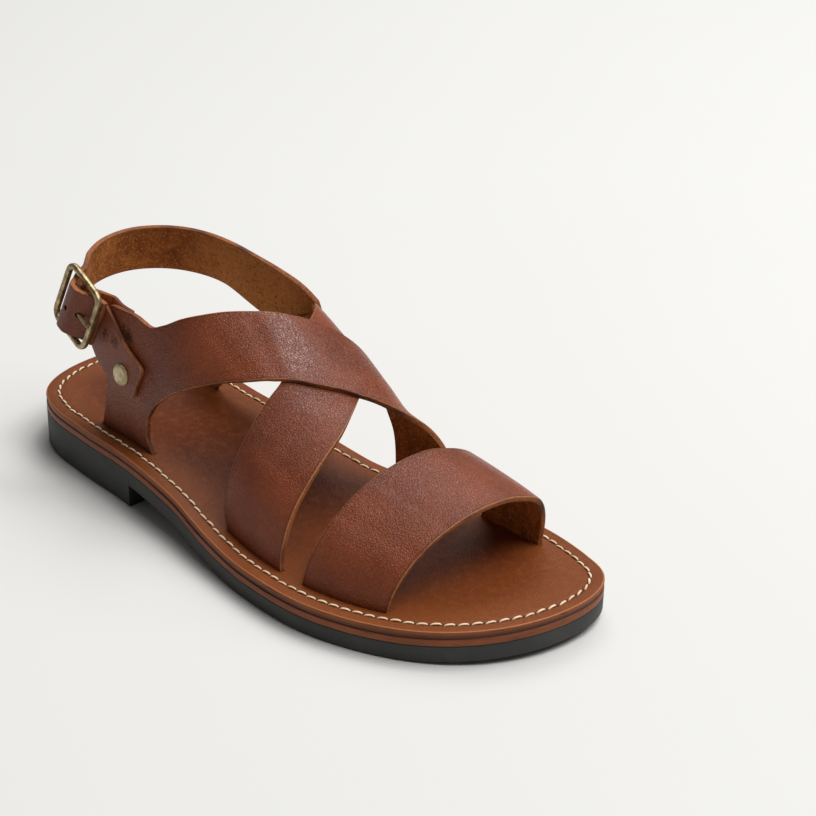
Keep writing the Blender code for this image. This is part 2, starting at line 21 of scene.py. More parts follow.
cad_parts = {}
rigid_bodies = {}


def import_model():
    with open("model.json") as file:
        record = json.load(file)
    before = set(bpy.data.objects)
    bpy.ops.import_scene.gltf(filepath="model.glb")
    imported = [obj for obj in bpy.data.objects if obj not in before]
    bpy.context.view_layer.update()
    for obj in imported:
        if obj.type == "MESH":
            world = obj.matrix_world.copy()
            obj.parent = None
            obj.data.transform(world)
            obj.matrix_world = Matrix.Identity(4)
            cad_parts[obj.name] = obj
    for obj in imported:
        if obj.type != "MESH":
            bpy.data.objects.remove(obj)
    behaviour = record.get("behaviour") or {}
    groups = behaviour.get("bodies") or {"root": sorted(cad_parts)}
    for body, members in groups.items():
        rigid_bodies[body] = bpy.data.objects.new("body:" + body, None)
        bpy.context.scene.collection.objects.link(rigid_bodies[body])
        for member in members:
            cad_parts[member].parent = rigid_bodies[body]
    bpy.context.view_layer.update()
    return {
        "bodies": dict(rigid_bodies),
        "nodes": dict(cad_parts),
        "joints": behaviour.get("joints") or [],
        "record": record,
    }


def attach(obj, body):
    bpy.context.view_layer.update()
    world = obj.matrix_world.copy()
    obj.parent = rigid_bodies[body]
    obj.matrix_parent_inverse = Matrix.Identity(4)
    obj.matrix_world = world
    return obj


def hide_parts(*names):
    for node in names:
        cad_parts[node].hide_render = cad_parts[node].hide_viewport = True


LOG = logging.getLogger("sandal")
MM = 0.001  # metres in a millimetre
BODY = "root"  # the only body of the frame
FIT_GAP = 0.3  # clearance between pieces that meet
STRAP_WALL = 2.2  # thickness of the strap leather
STITCH_INSET = 5.5  # rim of the footbed to its stitches
BAR = 1.1  # radius of the buckle's middle bar
UNDERSIDE = 99.0  # drop that stands for the underside of a sole layer
ALOFT = np.array((0.0, 0.0, 1.0))  # straight up
Number = Union[float, np.ndarray]
Color = tuple[float, float, float]
Place = tuple[float, float, float]
Piece = bpy.types.Object
Material = bpy.types.Material
Materials = Sequence[Material]
Sockets = dict[Union[str, int], Any]
PatchRow = tuple[float, float, float, float, float]


class Face(Enum):
    """Which face of a leather piece a material slot dresses."""

    GRAIN = 0
    SUEDE = 1
    EDGE = 2
    CORNER = 3


class Side(Enum):
    """Which side of the foot a landing is on."""

    OUTER = 0
    INNER = 1


class Table:
    """Rows of numbers under named columns, read by monotone cubics."""

    def __init__(self, columns: str, *rows: Sequence[float]) -> None:
        """Keep the columns.

        Args:
            columns: Names of the columns, with spaces between.
            rows: One row of numbers for each section or station.
        """
        self.data = dict(zip(columns.split(), np.array(rows, float).T))

    def first(self, column: str) -> float:
        """First value of a column."""
        return float(self.data[column][0])

    def last(self, column: str) -> float:
        """Last value of a column."""
        return float(self.data[column][-1])

    def ease(self, key: str, column: str, at: Number) -> np.ndarray:
        """Read a column at places along a key column.

        Args:
            key: Column of rising places.
            column: Column to read.
            at: Places, held within the key column's ends.

        Returns:
            The values there.
        """
        return self._cubic(self.data[key], self.data[column], np.asarray(at, float))

    def along(self, column: str, share: Number) -> np.ndarray:
        """Read a column at a share, 0 to 1, of the way down its rows.

        Args:
            column: Column to read.
            share: Shares of the way from the first row to the last.

        Returns:
            The values there.
        """
        values = self.data[column]
        rows = np.arange(len(values), dtype=float)
        return self._cubic(rows, values, np.asarray(share, float) * (len(values) - 1))

    @staticmethod
    def _cubic(knots: np.ndarray, values: np.ndarray, at: np.ndarray) -> np.ndarray:
        """Monotone cubic through knots.

        Args:
            knots: Rising places.
            values: Values at the knots.
            at: Places to read, held within the knots.

        Returns:
            The values there.
        """
        steps = np.diff(knots)
        grades = np.diff(values) / steps
        slopes = np.empty_like(values)
        slopes[0], slopes[-1] = grades[0], grades[-1]
        before, after = grades[:-1], grades[1:]
        total = np.where(before * after > 0, before + after, 1.0)
        slopes[1:-1] = np.where(before * after > 0, 2 * before * after / total, 0.0)
        at = np.clip(at, knots[0], knots[-1])
        i = np.clip(np.searchsorted(knots, at) - 1, 0, len(steps) - 1)
        t = (at - knots[i]) / steps[i]
        plain = values[i] * (1 + 2 * t) * (1 - t) ** 2 + values[i + 1] * t * t * (3 - 2 * t)
        return plain + steps[i] * (slopes[i] * t * (1 - t) ** 2 + slopes[i + 1] * t * t * (t - 1))


def smooth(low: Number, high: Number, value: Number) -> np.ndarray:
    """Step from 0 to 1 with level ends."""
    t = np.clip((value - low) / (np.asarray(high) - low), 0, 1)
    return t * t * (3 - 2 * t)


def stack(*columns: Number) -> np.ndarray:
    """Points from their x, y and z arrays."""
    return np.stack(np.broadcast_arrays(*columns), axis=-1).astype(float)


# Shape of the sole and the last


@dataclass
class SoleShape:
    """Outline and heights of the sole."""

    length: float = 280.0
    rubber: float = 6.8
    midsole: float = 3.0
    footbed: float = 3.1
    heel_breast: float = 0.304
    shank_rise: float = 9.3
    shank_end: float = 0.60
    spring_start: float = 0.78
    toe_spring: float = 3.0
    fullness: Table = Table(
        "station lateral medial",
        (0.00, 98, 100),
        (0.08, 75, 68),
        (0.18, 61, 43),
        (0.29, 56, 31),
        (0.40, 57, 26),
        (0.51, 63, 27),
        (0.62, 71, 34),
        (0.73, 79, 42),
        (0.83, 84, 48),
        (0.92, 89, 54),
        (1.00, 93, 71),
    )

    def edges(self, x: Number) -> tuple[np.ndarray, np.ndarray]:
        """Outer and inner edge of the sole at places along it.

        Args:
            x: Places along the sole.

        Returns:
            The y of the outer and of the inner edge.
        """
        u = np.clip(np.asarray(x, float) / self.length, 0, 1)
        girth = 2 * np.sqrt(u * (1 - u))
        lateral = -girth * self.fullness.ease("station", "lateral", u)
        return lateral, girth * self.fullness.ease("station", "medial", u)

    def middle(self) -> np.ndarray:
        """Point of the sole that becomes the origin."""
        lateral, medial = self.edges(np.linspace(0, self.length, 2001))
        return np.array((self.length / 2, (lateral.min() + medial.max()) / 2, 0.0))

    def shank(self, x: Number) -> np.ndarray:
        """Underside of the sole in front of the heel, carried on over the heel.

        Args:
            x: Places along the sole.

        Returns:
            Heights over the floor.
        """
        u = np.clip(np.asarray(x, float) / self.length, 0, 1)
        spring = np.maximum((u - self.spring_start) / (1 - self.spring_start), 0.0)
        drop = 1 - smooth(self.heel_breast, self.shank_end, u)
        return self.shank_rise * drop + self.toe_spring * spring**2

    def top(self, x: Number) -> np.ndarray:
        """Top of the footbed at places along the sole."""
        return self.shank(x) + self.rubber + self.midsole + self.footbed

    def outline(self, count: int) -> np.ndarray:
        """Points at even steps round the sole's edge, from the heel by the outer side.

        Args:
            count: How many points.

        Returns:
            Array of count points in plan.
        """
        turn = np.linspace(0, 2 * math.pi, 6001)
        u = (1 - np.cos(turn)) / 2
        full = np.where(
            np.sin(turn) >= 0,
            self.fullness.ease("station", "lateral", u),
            self.fullness.ease("station", "medial", u),
        )
        plan = np.stack((self.length * u, -full * np.sin(turn)), axis=-1)
        steps = np.linalg.norm(np.diff(plan, axis=0), axis=1)
        run = np.concatenate(((0.0,), np.cumsum(steps)))
        at = np.linspace(0, run[-1], count + 1)[:-1]
        return np.stack([np.interp(at, run, plan[:, k]) for k in (0, 1)], axis=-1)

    def inward(self, plan: np.ndarray) -> np.ndarray:
        """Unit directions into the sole at points of its outline.

        Args:
            plan: Points of the outline, in order.

        Returns:
            One direction for each point.
        """
        ahead = np.roll(plan, -1, axis=0) - np.roll(plan, 1, axis=0)
        ahead /= np.linalg.norm(ahead, axis=1, keepdims=True)
        return np.stack((-ahead[:, 1], ahead[:, 0]), axis=-1)


@dataclass
class LastShape:
    """The form of the foot that the straps lie on: arched sections over the footbed."""

    sole: SoleShape
    slot_inset: float = 10.0
    outer_fullness: float = 1.9
    inner_fullness: float = 2.4
    sections: Table = Table(
        "x rise crest swell inset",
        (10, 150, 0.50, 6, 12),
        (60, 123, 0.50, 8, 12),
        (100, 82, 0.58, 13, 9),
        (115, 72, 0.63, 13, 7),
        (130, 64.5, 0.68, 12, 7),
        (145, 57.5, 0.70, 9.5, 6.5),
        (160, 50, 0.70, 6, 7),
        (175, 43.5, 0.66, 3.5, 8),
        (202, 38, 0.62, 2.5, 9.5),
        (240, 30.5, 0.62, 2, 10),
        (275, 22, 0.62, 1, 10),
    )

    def slots(self, x: Number) -> tuple[np.ndarray, np.ndarray]:
        """Where straps meet the footbed on the outer and the inner side."""
        lateral, medial = self.sole.edges(x)
        return lateral + self.slot_inset, medial - self.sections.ease("x", "inset", x)

    def surface(self, x: Number, across: Number) -> np.ndarray:
        """Points on the last, across from 0 at the outer slot to 1 at the inner one.

        Args:
            x: Places along the sole.
            across: Shares of the way over the foot.

        Returns:
            The points.
        """
        x, across = np.broadcast_arrays(np.asarray(x, float), np.asarray(across, float))
        outer, inner = self.slots(x)
        crest = outer + (inner - outer) * self.sections.ease("x", "crest", x)
        rise = self.sections.ease("x", "rise", x)
        turn = math.pi * across
        reach, lift = np.abs(np.cos(turn)), np.maximum(np.sin(turn), 0.0)
        swell = self.sections.ease("x", "swell", x) * np.sin(2 * math.pi * (1 - across))
        near = across < 0.5
        y_outer = crest - (crest - outer) * reach ** (2 / self.outer_fullness)
        y_inner = crest + (inner - crest) * reach ** (2 / self.inner_fullness) + swell
        height = np.where(near, lift, lift ** (2 / self.inner_fullness))
        return stack(x, np.where(near, y_outer, y_inner), self.sole.top(x) + rise * height)

    def point(self, x: Number, across: Number, off: Number = 0.0) -> np.ndarray:
        """Points at a distance off the last, outward.

        Args:
            x: Places along the sole.
            across: Shares of the way over the foot.
            off: Distance outward.

        Returns:
            The points.
        """
        x, across = np.broadcast_arrays(np.asarray(x, float), np.asarray(across, float))
        low, high = np.maximum(across - 0.004, 0.0), np.minimum(across + 0.004, 1.0)
        run = self.surface(x + 0.5, across) - self.surface(x - 0.5, across)
        normal = np.cross(run, self.surface(x, high) - self.surface(x, low))
        normal /= np.linalg.norm(normal, axis=-1, keepdims=True)
        return self.surface(x, across) + normal * np.asarray(off, float)[..., None]

    def wall(self, x: Number, z: Number, off: Number, side: Side) -> np.ndarray:
        """Points off the wall of the last at places along the sole and heights.

        Args:
            x: Places along the sole.
            z: Heights over the floor.
            off: Distance outward from the wall.
            side: Outer or inner wall.

        Returns:
            The points.
        """
        x, z = np.broadcast_arrays(np.asarray(x, float), np.asarray(z, float))
        inner = side is Side.INNER
        low = np.full(x.shape, 0.5 if inner else 0.0)
        high = low + 0.5
        for _ in range(36):
            middle = (low + high) / 2
            above = self.surface(x, middle)[..., 2] > z
            low = np.where(above == inner, middle, low)
            high = np.where(above == inner, high, middle)
        return self.point(x, (low + high) / 2, off)

    def wall_normal(self, x: float, z: float, side: Side) -> np.ndarray:
        """Outward direction of the last's wall."""
        out = self.wall(x, z, 1.0, side) - self.wall(x, z, 0.0, side)
        return out / np.linalg.norm(out)


# Mesh tools


@dataclass
class Workbench:
    """Makes meshes from grids that are wrapped on a form, and finishes them with modifiers."""

    origin: np.ndarray

    def place(self, points: np.ndarray) -> np.ndarray:
        """Points of the sandal in metres."""
        return (np.asarray(points, float) - self.origin) * MM

    @staticmethod
    def select(obj: Piece) -> None:
        """Make one object the only selected one, and active.

        Args:
            obj: The object.
        """
        bpy.ops.object.select_all(action="DESELECT")
        obj.select_set(True)
        bpy.context.view_layer.objects.active = obj

    def wrap(self, name: str, points: np.ndarray) -> Piece:
        """Lay a grid on a net of points.

        Args:
            name: Name of the piece.
            points: Rows and columns of points; faces look along columns crossed with rows.

        Returns:
            The new object, with a UV map that runs across the columns and along the rows.
        """
        rows, cols = points.shape[:2]
        bpy.ops.object.select_all(action="DESELECT")
        bpy.ops.mesh.primitive_grid_add(
            x_subdivisions=cols - 1, y_subdivisions=rows - 1, size=1.0, calc_uvs=True
        )
        obj = bpy.context.active_object
        obj.name = obj.data.name = name
        obj.data.vertices.foreach_set("co", self.place(points).astype(np.float32).ravel())
        obj.data.update()
        return obj

    def weld(self, obj: Piece, distance: float = 2e-6) -> None:
        """Join points that lie on each other, such as a loop's seam and its poles.

        Args:
            obj: The piece.
            distance: Metres within which points are joined.
        """
        self.select(obj)
        bpy.ops.object.mode_set(mode="EDIT")
        bpy.ops.mesh.select_all(action="SELECT")
        bpy.ops.mesh.remove_doubles(threshold=distance)
        bpy.ops.mesh.dissolve_degenerate(threshold=1e-7)
        bpy.ops.object.mode_set(mode="OBJECT")

    def outward(self, obj: Piece) -> None:
        """Turn a closed piece's faces outward.

        Args:
            obj: The piece.
        """
        self.select(obj)
        bpy.ops.object.mode_set(mode="EDIT")
        bpy.ops.mesh.select_all(action="SELECT")
        bpy.ops.mesh.normals_make_consistent(inside=False)
        bpy.ops.object.mode_set(mode="OBJECT")

    def join(self, obj: Piece, other: Piece) -> None:
        """Make another piece a part of this one.

        Args:
            obj: The piece that stays.
            other: The piece that goes into it.
        """
        self.select(obj)
        other.select_set(True)
        bpy.ops.object.join()

    def modify(self, obj: Piece, kind: str, **settings: Any) -> None:
        """Add a modifier and apply it.

        Args:
            obj: The piece.
            kind: Type of the modifier.
            settings: Values set on it.
        """
        step = obj.modifiers.new(kind.title(), kind)
        for name, value in settings.items():
            setattr(step, name, value)
        self.select(obj)
        bpy.ops.object.modifier_apply(modifier=step.name)

    def soften(self, obj: Piece, degrees: float = 40.0) -> None:
        """Shade a piece smooth, apart from its sharp edges."""
        self.select(obj)
        bpy.ops.object.shade_smooth_by_angle(angle=math.radians(degrees))

    def thicken(
        self,
        obj: Piece,
        wall: float,
        offset: float = -1.0,
        edge: float = 0.35,
        corner: Face = Face.CORNER,
    ) -> None:
        """Give a leather sheet its wall and its rounded edges.

        Args:
            obj: The sheet.
            wall: Thickness.
            offset: Which way the wall grows, -1 inward.
            edge: Width of the rounding.
            corner: Finish of the rounding.
        """
        self.modify(
            obj,
            "SOLIDIFY",
            thickness=wall * MM,
            offset=offset,
            use_even_offset=True,
            use_quality_normals=True,
            material_offset=Face.SUEDE.value,
            material_offset_rim=Face.EDGE.value,
        )
        self.modify(
            obj,
            "BEVEL",
            width=edge * MM,
            segments=2,
            limit_method="ANGLE",
            angle_limit=math.radians(55),
            use_clamp_overlap=True,
            material=corner.value,
        )
        self.soften(obj)

    def leather(
        self, name: str, net: np.ndarray, materials: Materials, wall: float, **finish: Any
    ) -> Piece:
        """A strip of leather laid on a net of points.

        Args:
            name: Name of the piece.
            net: Rows and columns of points.
            materials: Material of each face of the leather.
            wall: Thickness.
            finish: What thicken is told of its wall and its edges.

        Returns:
            The piece.
        """
        obj = self.wrap(name, net)
        self.dress(obj, *materials)
        self.thicken(obj, wall, **finish)
        return obj

    def cut(self, obj: Piece, cutter: Piece) -> None:
        """Cut a piece with another, which is then removed."""
        self.modify(obj, "BOOLEAN", operation="DIFFERENCE", solver="EXACT", object=cutter)
        bpy.data.objects.remove(cutter, do_unlink=True)

    def bore(self, name: str, start: np.ndarray, end: np.ndarray, radius: float) -> Piece:
        """A round cutter between two points.

        Args:
            name: Name of the cutter.
            start: Middle of one end.
            end: Middle of the other end.
            radius: Radius of the hole.

        Returns:
            The cutter.
        """
        a, b = (Vector(self.place(p)) for p in (start, end))
        bpy.ops.object.select_all(action="DESELECT")
        bpy.ops.mesh.primitive_cylinder_add(vertices=24, radius=radius * MM, depth=(b - a).length)
        obj = bpy.context.active_object
        obj.name = name
        turn = (b - a).to_track_quat("Z", "Y").to_matrix().to_4x4()
        obj.data.transform(Matrix.Translation((a + b) / 2) @ turn)
        return obj

    def dress(self, obj: Piece, *materials: Material) -> None:
        """Give a piece its materials, in slots.

        Args:
            obj: The piece.
            materials: One material for each slot.
        """
        obj.data.materials.clear()
        for material in materials:
            obj.data.materials.append(material)

    def faces_of_rows(self, obj: Piece, cols: int, slots: Sequence[int]) -> None:
        """Give each row of a wrapped grid's faces its material slot."""
        index = np.repeat(np.asarray(slots, np.int32), cols - 1)
        obj.data.polygons.foreach_set("material_index", index)

    def mark(self, obj: Piece, name: str, values: np.ndarray) -> None:
        """Keep a number at each point of a mesh, for its material."""
        made = obj.data.attributes.new(name, "FLOAT", "POINT")
        made.data.foreach_set("value", np.asarray(values, np.float32).ravel())

    def keep(self, obj: Piece, nodes: Sequence[str], slot: Optional[str]) -> Piece:
        """Let a finished piece ride on the sandal in place of its solids.

        Args:
            obj: The piece.
            nodes: Solids that it stands for.
            slot: Material slot of the record, if it has one; not used.

        Returns:
            The same piece.
        """
        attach(obj, BODY)
        if nodes:
            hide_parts(*nodes)
        LOG.info("%s: %d faces", obj.name, len(obj.data.polygons))
        return obj


def drawn_out(sections: np.ndarray, step: float, ease: float) -> np.ndarray:
    """Sections at even steps along a strap, with the corners of its way eased.

    Args:
        sections: Rows of points across the strap.
        step: Distance between the new rows.
        ease: Length over which corners are rounded.

    Returns:
        New rows of points.
    """
    middle = sections[:, sections.shape[1] // 2]
    run = np.concatenate(((0.0,), np.cumsum(np.linalg.norm(np.diff(middle, axis=0), axis=1))))
    at = np.linspace(0, run[-1], max(int(run[-1] / step), 4) + 1)
    flat = sections.reshape(len(sections), -1)
    rows = np.stack([np.interp(at, run, flat[:, k]) for k in range(flat.shape[1])], axis=-1)
    reach = max(int(round(3 * ease / step)), 1)
    offsets = np.arange(-reach, reach + 1)
    weights = np.exp(-0.5 * (offsets * step / max(ease, 1e-6)) ** 2)
    weights /= weights.sum()
    mirrored = np.concatenate(
        (2 * rows[:1] - rows[reach:0:-1], rows, 2 * rows[-1:] - rows[-2 : -reach - 2 : -1])
    )
    eased = sum(w * mirrored[k : k + len(rows)] for k, w in enumerate(weights))
    return eased.reshape(len(rows), sections.shape[1], 3)


# Materials; their cells are counted to the metre, and their depths are metres


@dataclass(frozen=True)
class Patch:
    """A round place on the leather with a soft edge, in metres."""

    centre: Place
    core: float
    reach: float


@dataclass(frozen=True)
class Value:
    """A socket of a material's nodes, with arithmetic."""

    nodes: "NodeBench"
    socket: bpy.types.NodeSocket

    def _with(self, operation: str, first: Any, second: Any) -> "Value":
        """Add a Math node."""
        return self.nodes.node("ShaderNodeMath", {"operation": operation}, {0: first, 1: second})

    def __add__(self, other: Any) -> "Value":
        """Sum."""
        return self._with("ADD", self, other)

    def __radd__(self, other: Any) -> "Value":
        """Sum, reflected."""
        return self._with("ADD", other, self)

    def __sub__(self, other: Any) -> "Value":
        """Difference."""
        return self._with("SUBTRACT", self, other)

    def __rsub__(self, other: Any) -> "Value":
        """Difference, reflected."""
        return self._with("SUBTRACT", other, self)

    def __mul__(self, other: Any) -> "Value":
        """Product."""
        return self._with("MULTIPLY", self, other)

    def __rmul__(self, other: Any) -> "Value":
        """Product, reflected."""
        return self._with("MULTIPLY", other, self)

    def highest(self, other: Any) -> "Value":
        """Greater of two."""
        return self._with("MAXIMUM", self, other)

    def lowest(self, other: Any) -> "Value":
        """Smaller of two."""
        return self._with("MINIMUM", self, other)

    def size(self) -> "Value":
        """Without its sign."""
        return self._with("ABSOLUTE", self, 0.0)


class NodeBench:
    """Nodes of one material."""

    def __init__(self, name: str) -> None:
        """Start a material with no nodes.

        Args:
            name: Name of the material.
        """
        self.material = bpy.data.materials.new(name)
        self.material.use_nodes = True
        self.tree = self.material.node_tree
        self.tree.nodes.clear()

    def node(
        self,
        kind: str,
        settings: Optional[dict[str, Any]] = None,
        sockets: Optional[Sockets] = None,
        out: Union[str, int] = 0,
    ) -> Value:
        """Add a node.

        Args:
            kind: Type of the node.
            settings: Values set on the node itself, first.
            sockets: Numbers, colours or values for its sockets.
            out: Output to return.

        Returns:
            The output, as a value.
        """
        made = self.tree.nodes.new(kind)
        for name, value in (settings or {}).items():
            setattr(made, name, value)
        for key, value in (sockets or {}).items():
            if isinstance(value, Value):
                self.tree.links.new(value.socket, made.inputs[key])
            else:
                made.inputs[key].default_value = value
        return Value(self, made.outputs[out])

    def vector(self, operation: str, sockets: Sockets, out: str = "Vector") -> Value:
        """Add a Vector Math node."""
        return self.node("ShaderNodeVectorMath", {"operation": operation}, sockets, out)

    def where(self) -> Value:
        """Place on the piece, in metres."""
        return self.node("ShaderNodeTexCoord", out="Object")

    def chart(self) -> tuple[Value, Value]:
        """Share across and share along a wrapped piece.

        Returns:
            Both shares, 0 to 1.
        """
        chart = self.node("ShaderNodeTexCoord", out="UV")
        apart = {"Vector": chart}
        return (
            self.node("ShaderNodeSeparateXYZ", None, apart, "X"),
            self.node("ShaderNodeSeparateXYZ", None, apart, "Y"),
        )

    def kept(self, name: str) -> Value:
        """A number kept at the mesh's points."""
        return self.node("ShaderNodeAttribute", {"attribute_name": name}, None, "Fac")

    def stretched(self, where: Value, scale: Place, turn: Place = (0, 0, 0)) -> Value:
        """Coordinates turned and scaled."""
        sockets = {"Vector": where, "Rotation": turn, "Scale": scale}
        return self.node("ShaderNodeMapping", None, sockets)

    def noise(self, where: Value, scale: float, detail: float = 4.0, rough: float = 0.55) -> Value:
        """Soft noise, about 0 to 1, with cells of 1/scale metres."""
        sockets = {"Vector": where, "Scale": scale, "Detail": detail, "Roughness": rough}
        return self.node("ShaderNodeTexNoise", None, sockets)

    def warped(self, where: Value, scale: float, amount: float) -> Value:
        """Coordinates shaken by noise.

        Args:
            where: Coordinates.
            scale: Noise cells in a metre.
            amount: Metres that they move by.

        Returns:
            The shaken coordinates.
        """
        noise = {"Vector": where, "Scale": scale, "Detail": 3.0}
        shake = self.node("ShaderNodeTexNoise", None, noise, "Color")
        centred = self.vector("SUBTRACT", {0: shake, 1: (0.5, 0.5, 0.5)})
        moved = self.vector("SCALE", {0: centred, "Scale": amount})
        return self.vector("ADD", {0: where, 1: moved})

    def cells(self, where: Value, scale: float) -> Value:
        """Distance from the walls of cells of about 1/scale metres."""
        settings, sockets = {"feature": "DISTANCE_TO_EDGE"}, {"Vector": where, "Scale": scale}
        return self.node("ShaderNodeTexVoronoi", settings, sockets, "Distance")

    def step(self, value: Value, low: float, high: float) -> Value:
        """Smooth step from 0 at low to 1 at high."""
        return self.node(
            "ShaderNodeMapRange",
            {"interpolation_type": "SMOOTHSTEP"},
            {"Value": value, "From Min": low, "From Max": high},
        )

    def near(self, where: Value, patch: Patch) -> Value:
        """Mask that is 1 in a patch's core, and 0 beyond its reach."""
        gap = self.vector("DISTANCE", {0: where, 1: patch.centre}, "Value")
        return 1 - self.step(gap, patch.core, patch.reach)

    def mix(self, share: Any, first: Any, second: Any) -> Value:
        """Blend of two colours."""
        first, second = ((*c, 1.0) if isinstance(c, tuple) else c for c in (first, second))
        return self.node("ShaderNodeMix", {"data_type": "RGBA"}, {0: share, 6: first, 7: second}, 2)

    def bump(
        self, height: Value, depth: float, under: Optional[Value] = None, strength: float = 1.0
    ) -> Value:
        """Normal of a relief.

        Args:
            height: Relief, about 0 to 1.
            depth: Metres that 1 stands for.
            under: Normal of the relief below.
            strength: How much of it shows.

        Returns:
            The normal.
        """
        sockets: Sockets = {"Height": height, "Distance": depth, "Strength": strength}
        if under is not None:
            sockets["Normal"] = under
        return self.node("ShaderNodeBump", None, sockets)

    def surface(self, **sockets: Any) -> Material:
        """Close the material with its shader.

        Args:
            sockets: Shader sockets, named with _ for spaces.

        Returns:
            The material.
        """
        named = {name.replace("_", " "): value for name, value in sockets.items()}
        shader = self.node("ShaderNodeBsdfPrincipled", None, named, "BSDF")
        end = self.tree.nodes.new("ShaderNodeOutputMaterial")
        self.tree.links.new(shader.socket, end.inputs["Surface"])
        return self.material


@dataclass(frozen=True)
class StrapLeather:
    """Waxed red-brown strap leather, finely creased where it bends."""

    dark: Color = (0.140, 0.0285, 0.0098)
    plain: Color = (0.258, 0.0600, 0.0205)
    warm: Color = (0.350, 0.0960, 0.0340)
    edge: Color = (0.060, 0.015, 0.0075)
    # gouge colours: painted shade in the pits, and lighter torn fibre with a painted highlight on
    # the lips
    gouge_shade: Color = (0.070, 0.013, 0.004)
    torn_fibre_and_highlight: Color = (0.420, 0.125, 0.036)
    polish: float = 0.70
    specular: float = 0.30
    coat_rough: float = 0.26
    cloud_cells: float = 26
    shine_cells: float = 48
    swell_cells: float = 60
    mottle_cells: float = 520
    crease_cells: tuple[float, float] = (500, 660)
    pebble_cells: float = 1000
    torn_cells: float = 640
    swell_depth: float = 0.0005
    crease_depth: float = 0.00016
    pebble_depth: float = 0.00013
    mottle_depth: float = 0.00006
    torn_depth: float = 0.0006
    patches: tuple[Patch, ...] = ()
    scuffs: tuple[Patch, ...] = ()

    def make(self, name: str) -> Material:
        """Make the material.

        Args:
            name: Name of the material.

        Returns:
            The material.
        """
        n = NodeBench(name)
        where = n.where()
        cloud = n.noise(where, self.cloud_cells, 3)
        mottle = n.noise(where, self.mottle_cells, 4, 0.6)
        shaken = n.warped(where, 420, 0.0009)
        turned = n.stretched(shaken, (1.0, 1.25, 0.9), (0.4, 0.7, 0.2))
        first = (n.noise(shaken, self.crease_cells[0], 1) - 0.5).size()
        second = (n.noise(turned, self.crease_cells[1], 1) - 0.48).size()
        creases = n.step(first.lowest(second), 0.0, 0.06)
        pebble = n.step(n.cells(n.warped(where, 900, 0.0007), self.pebble_cells), 0.0, 0.26)
        shine = n.step(n.noise(where, self.shine_cells, 2), 0.46, 0.66) * 0.25
        for patch in self.patches:
            shine = shine.highest(n.near(where, patch))
        worn = shine * 0.8
        across, _ = n.chart()
        rim = n.step((across - 0.5).size(), 0.455, 0.497)
        color = n.mix(n.step(cloud, 0.30, 0.66), self.dark, self.plain)
        color = n.mix(n.step(mottle, 0.42, 0.76) * 0.35, color, self.warm)
        color = n.mix((1 - pebble) * 0.40, color, self.dark)
        # painted shade: inside the patches the crease lines are darkened, standing for the shade in
        # the creases
        color = n.mix((1 - creases) * worn * 0.40, color, self.dark)
        color = n.mix(rim * 0.60, color, self.edge)
        rough = 0.24 + mottle * 0.14
        relief = n.bump(n.noise(where, self.swell_cells, 2), self.swell_depth, None, 0.3)
        relief = n.bump(creases * worn - worn, self.crease_depth, relief, 0.85)
        relief = n.bump(pebble, self.pebble_depth, relief, 0.9)
        relief = n.bump(mottle, self.mottle_depth, relief, 0.5)
        ragged = n.noise(where, self.torn_cells, 3, 0.7)
        for scuff in self.scuffs:
            here = n.near(where, scuff)
            lip, pit = here * n.step(ragged, 0.39, 0.45), here * n.step(ragged, 0.47, 0.53)
            # painted shade in each gouge's pit; torn fibre with a painted highlight on its lip
            color = n.mix(pit, n.mix(lip * 0.75, color, self.torn_fibre_and_highlight), self.gouge_shade)
            rough = rough + lip * 0.2
            relief = n.bump(lip * 0.4 - pit, self.torn_depth, relief)
        return n.surface(
            Base_Color=color,
            Roughness=rough,
            Normal=relief,
            Specular_IOR_Level=self.specular,
            Coat_Weight=shine * creases * (0.20 + pebble * 0.80) * self.polish,
            Coat_Roughness=self.coat_rough,
        )


@dataclass(frozen=True)
class SuedeInside:
    """Napped flesh side of the straps, with a few dark marks and patches of painted light."""

    base: Color = (0.530, 0.185, 0.045)
    dark: Color = (0.270, 0.085, 0.020)
    light: Color = (0.800, 0.350, 0.110)
    stain: Color = (0.050, 0.016, 0.006)
    rough: float = 0.95
    specular: float = 0.15
    nap_cells: float = 850
    blotch_cells: float = 130
    pit_cells: float = 420
    nap_depth: float = 0.00045
    blotch_depth: float = 0.0005
    marks: tuple[Patch, ...] = ()
    # patches where the suede is made lighter: painted light
    painted_light_patches: tuple[Patch, ...] = ()

    def make(self, name: str) -> Material:
        """Make the material.

        Args:
            name: Name of the material.

        Returns:
            The material.
        """
        n = NodeBench(name)
        where = n.where()
        nap = n.noise(where, self.nap_cells, 5, 0.78)
        blotch = n.noise(where, self.blotch_cells, 5, 0.68)
        pits = n.step(n.noise(where, self.pit_cells, 3), 0.60, 0.70)
        color = n.mix(n.step(blotch, 0.32, 0.68), self.dark, self.base)
        # painted light: the suede is made lighter in these patches
        for patch in self.painted_light_patches:
            pale = n.near(where, patch)
            color = n.mix(pale * 0.75, color, self.light)
        color = n.mix(n.step(nap, 0.50, 0.66) * 0.75, color, self.light)
        color = n.mix((1 - n.step(nap, 0.34, 0.50)) * 0.75, color, self.dark)
        color = n.mix(pits * 0.6, color, self.dark)
        for mark in self.marks:
            color = n.mix(n.near(where, mark) * 0.85, color, self.stain)
        relief = n.bump(blotch, self.blotch_depth, None, 0.6)
        return n.surface(
            Base_Color=color,
            Roughness=self.rough,
            Normal=n.bump(nap, self.nap_depth, relief, 0.8),
            Specular_IOR_Level=self.specular,
        )


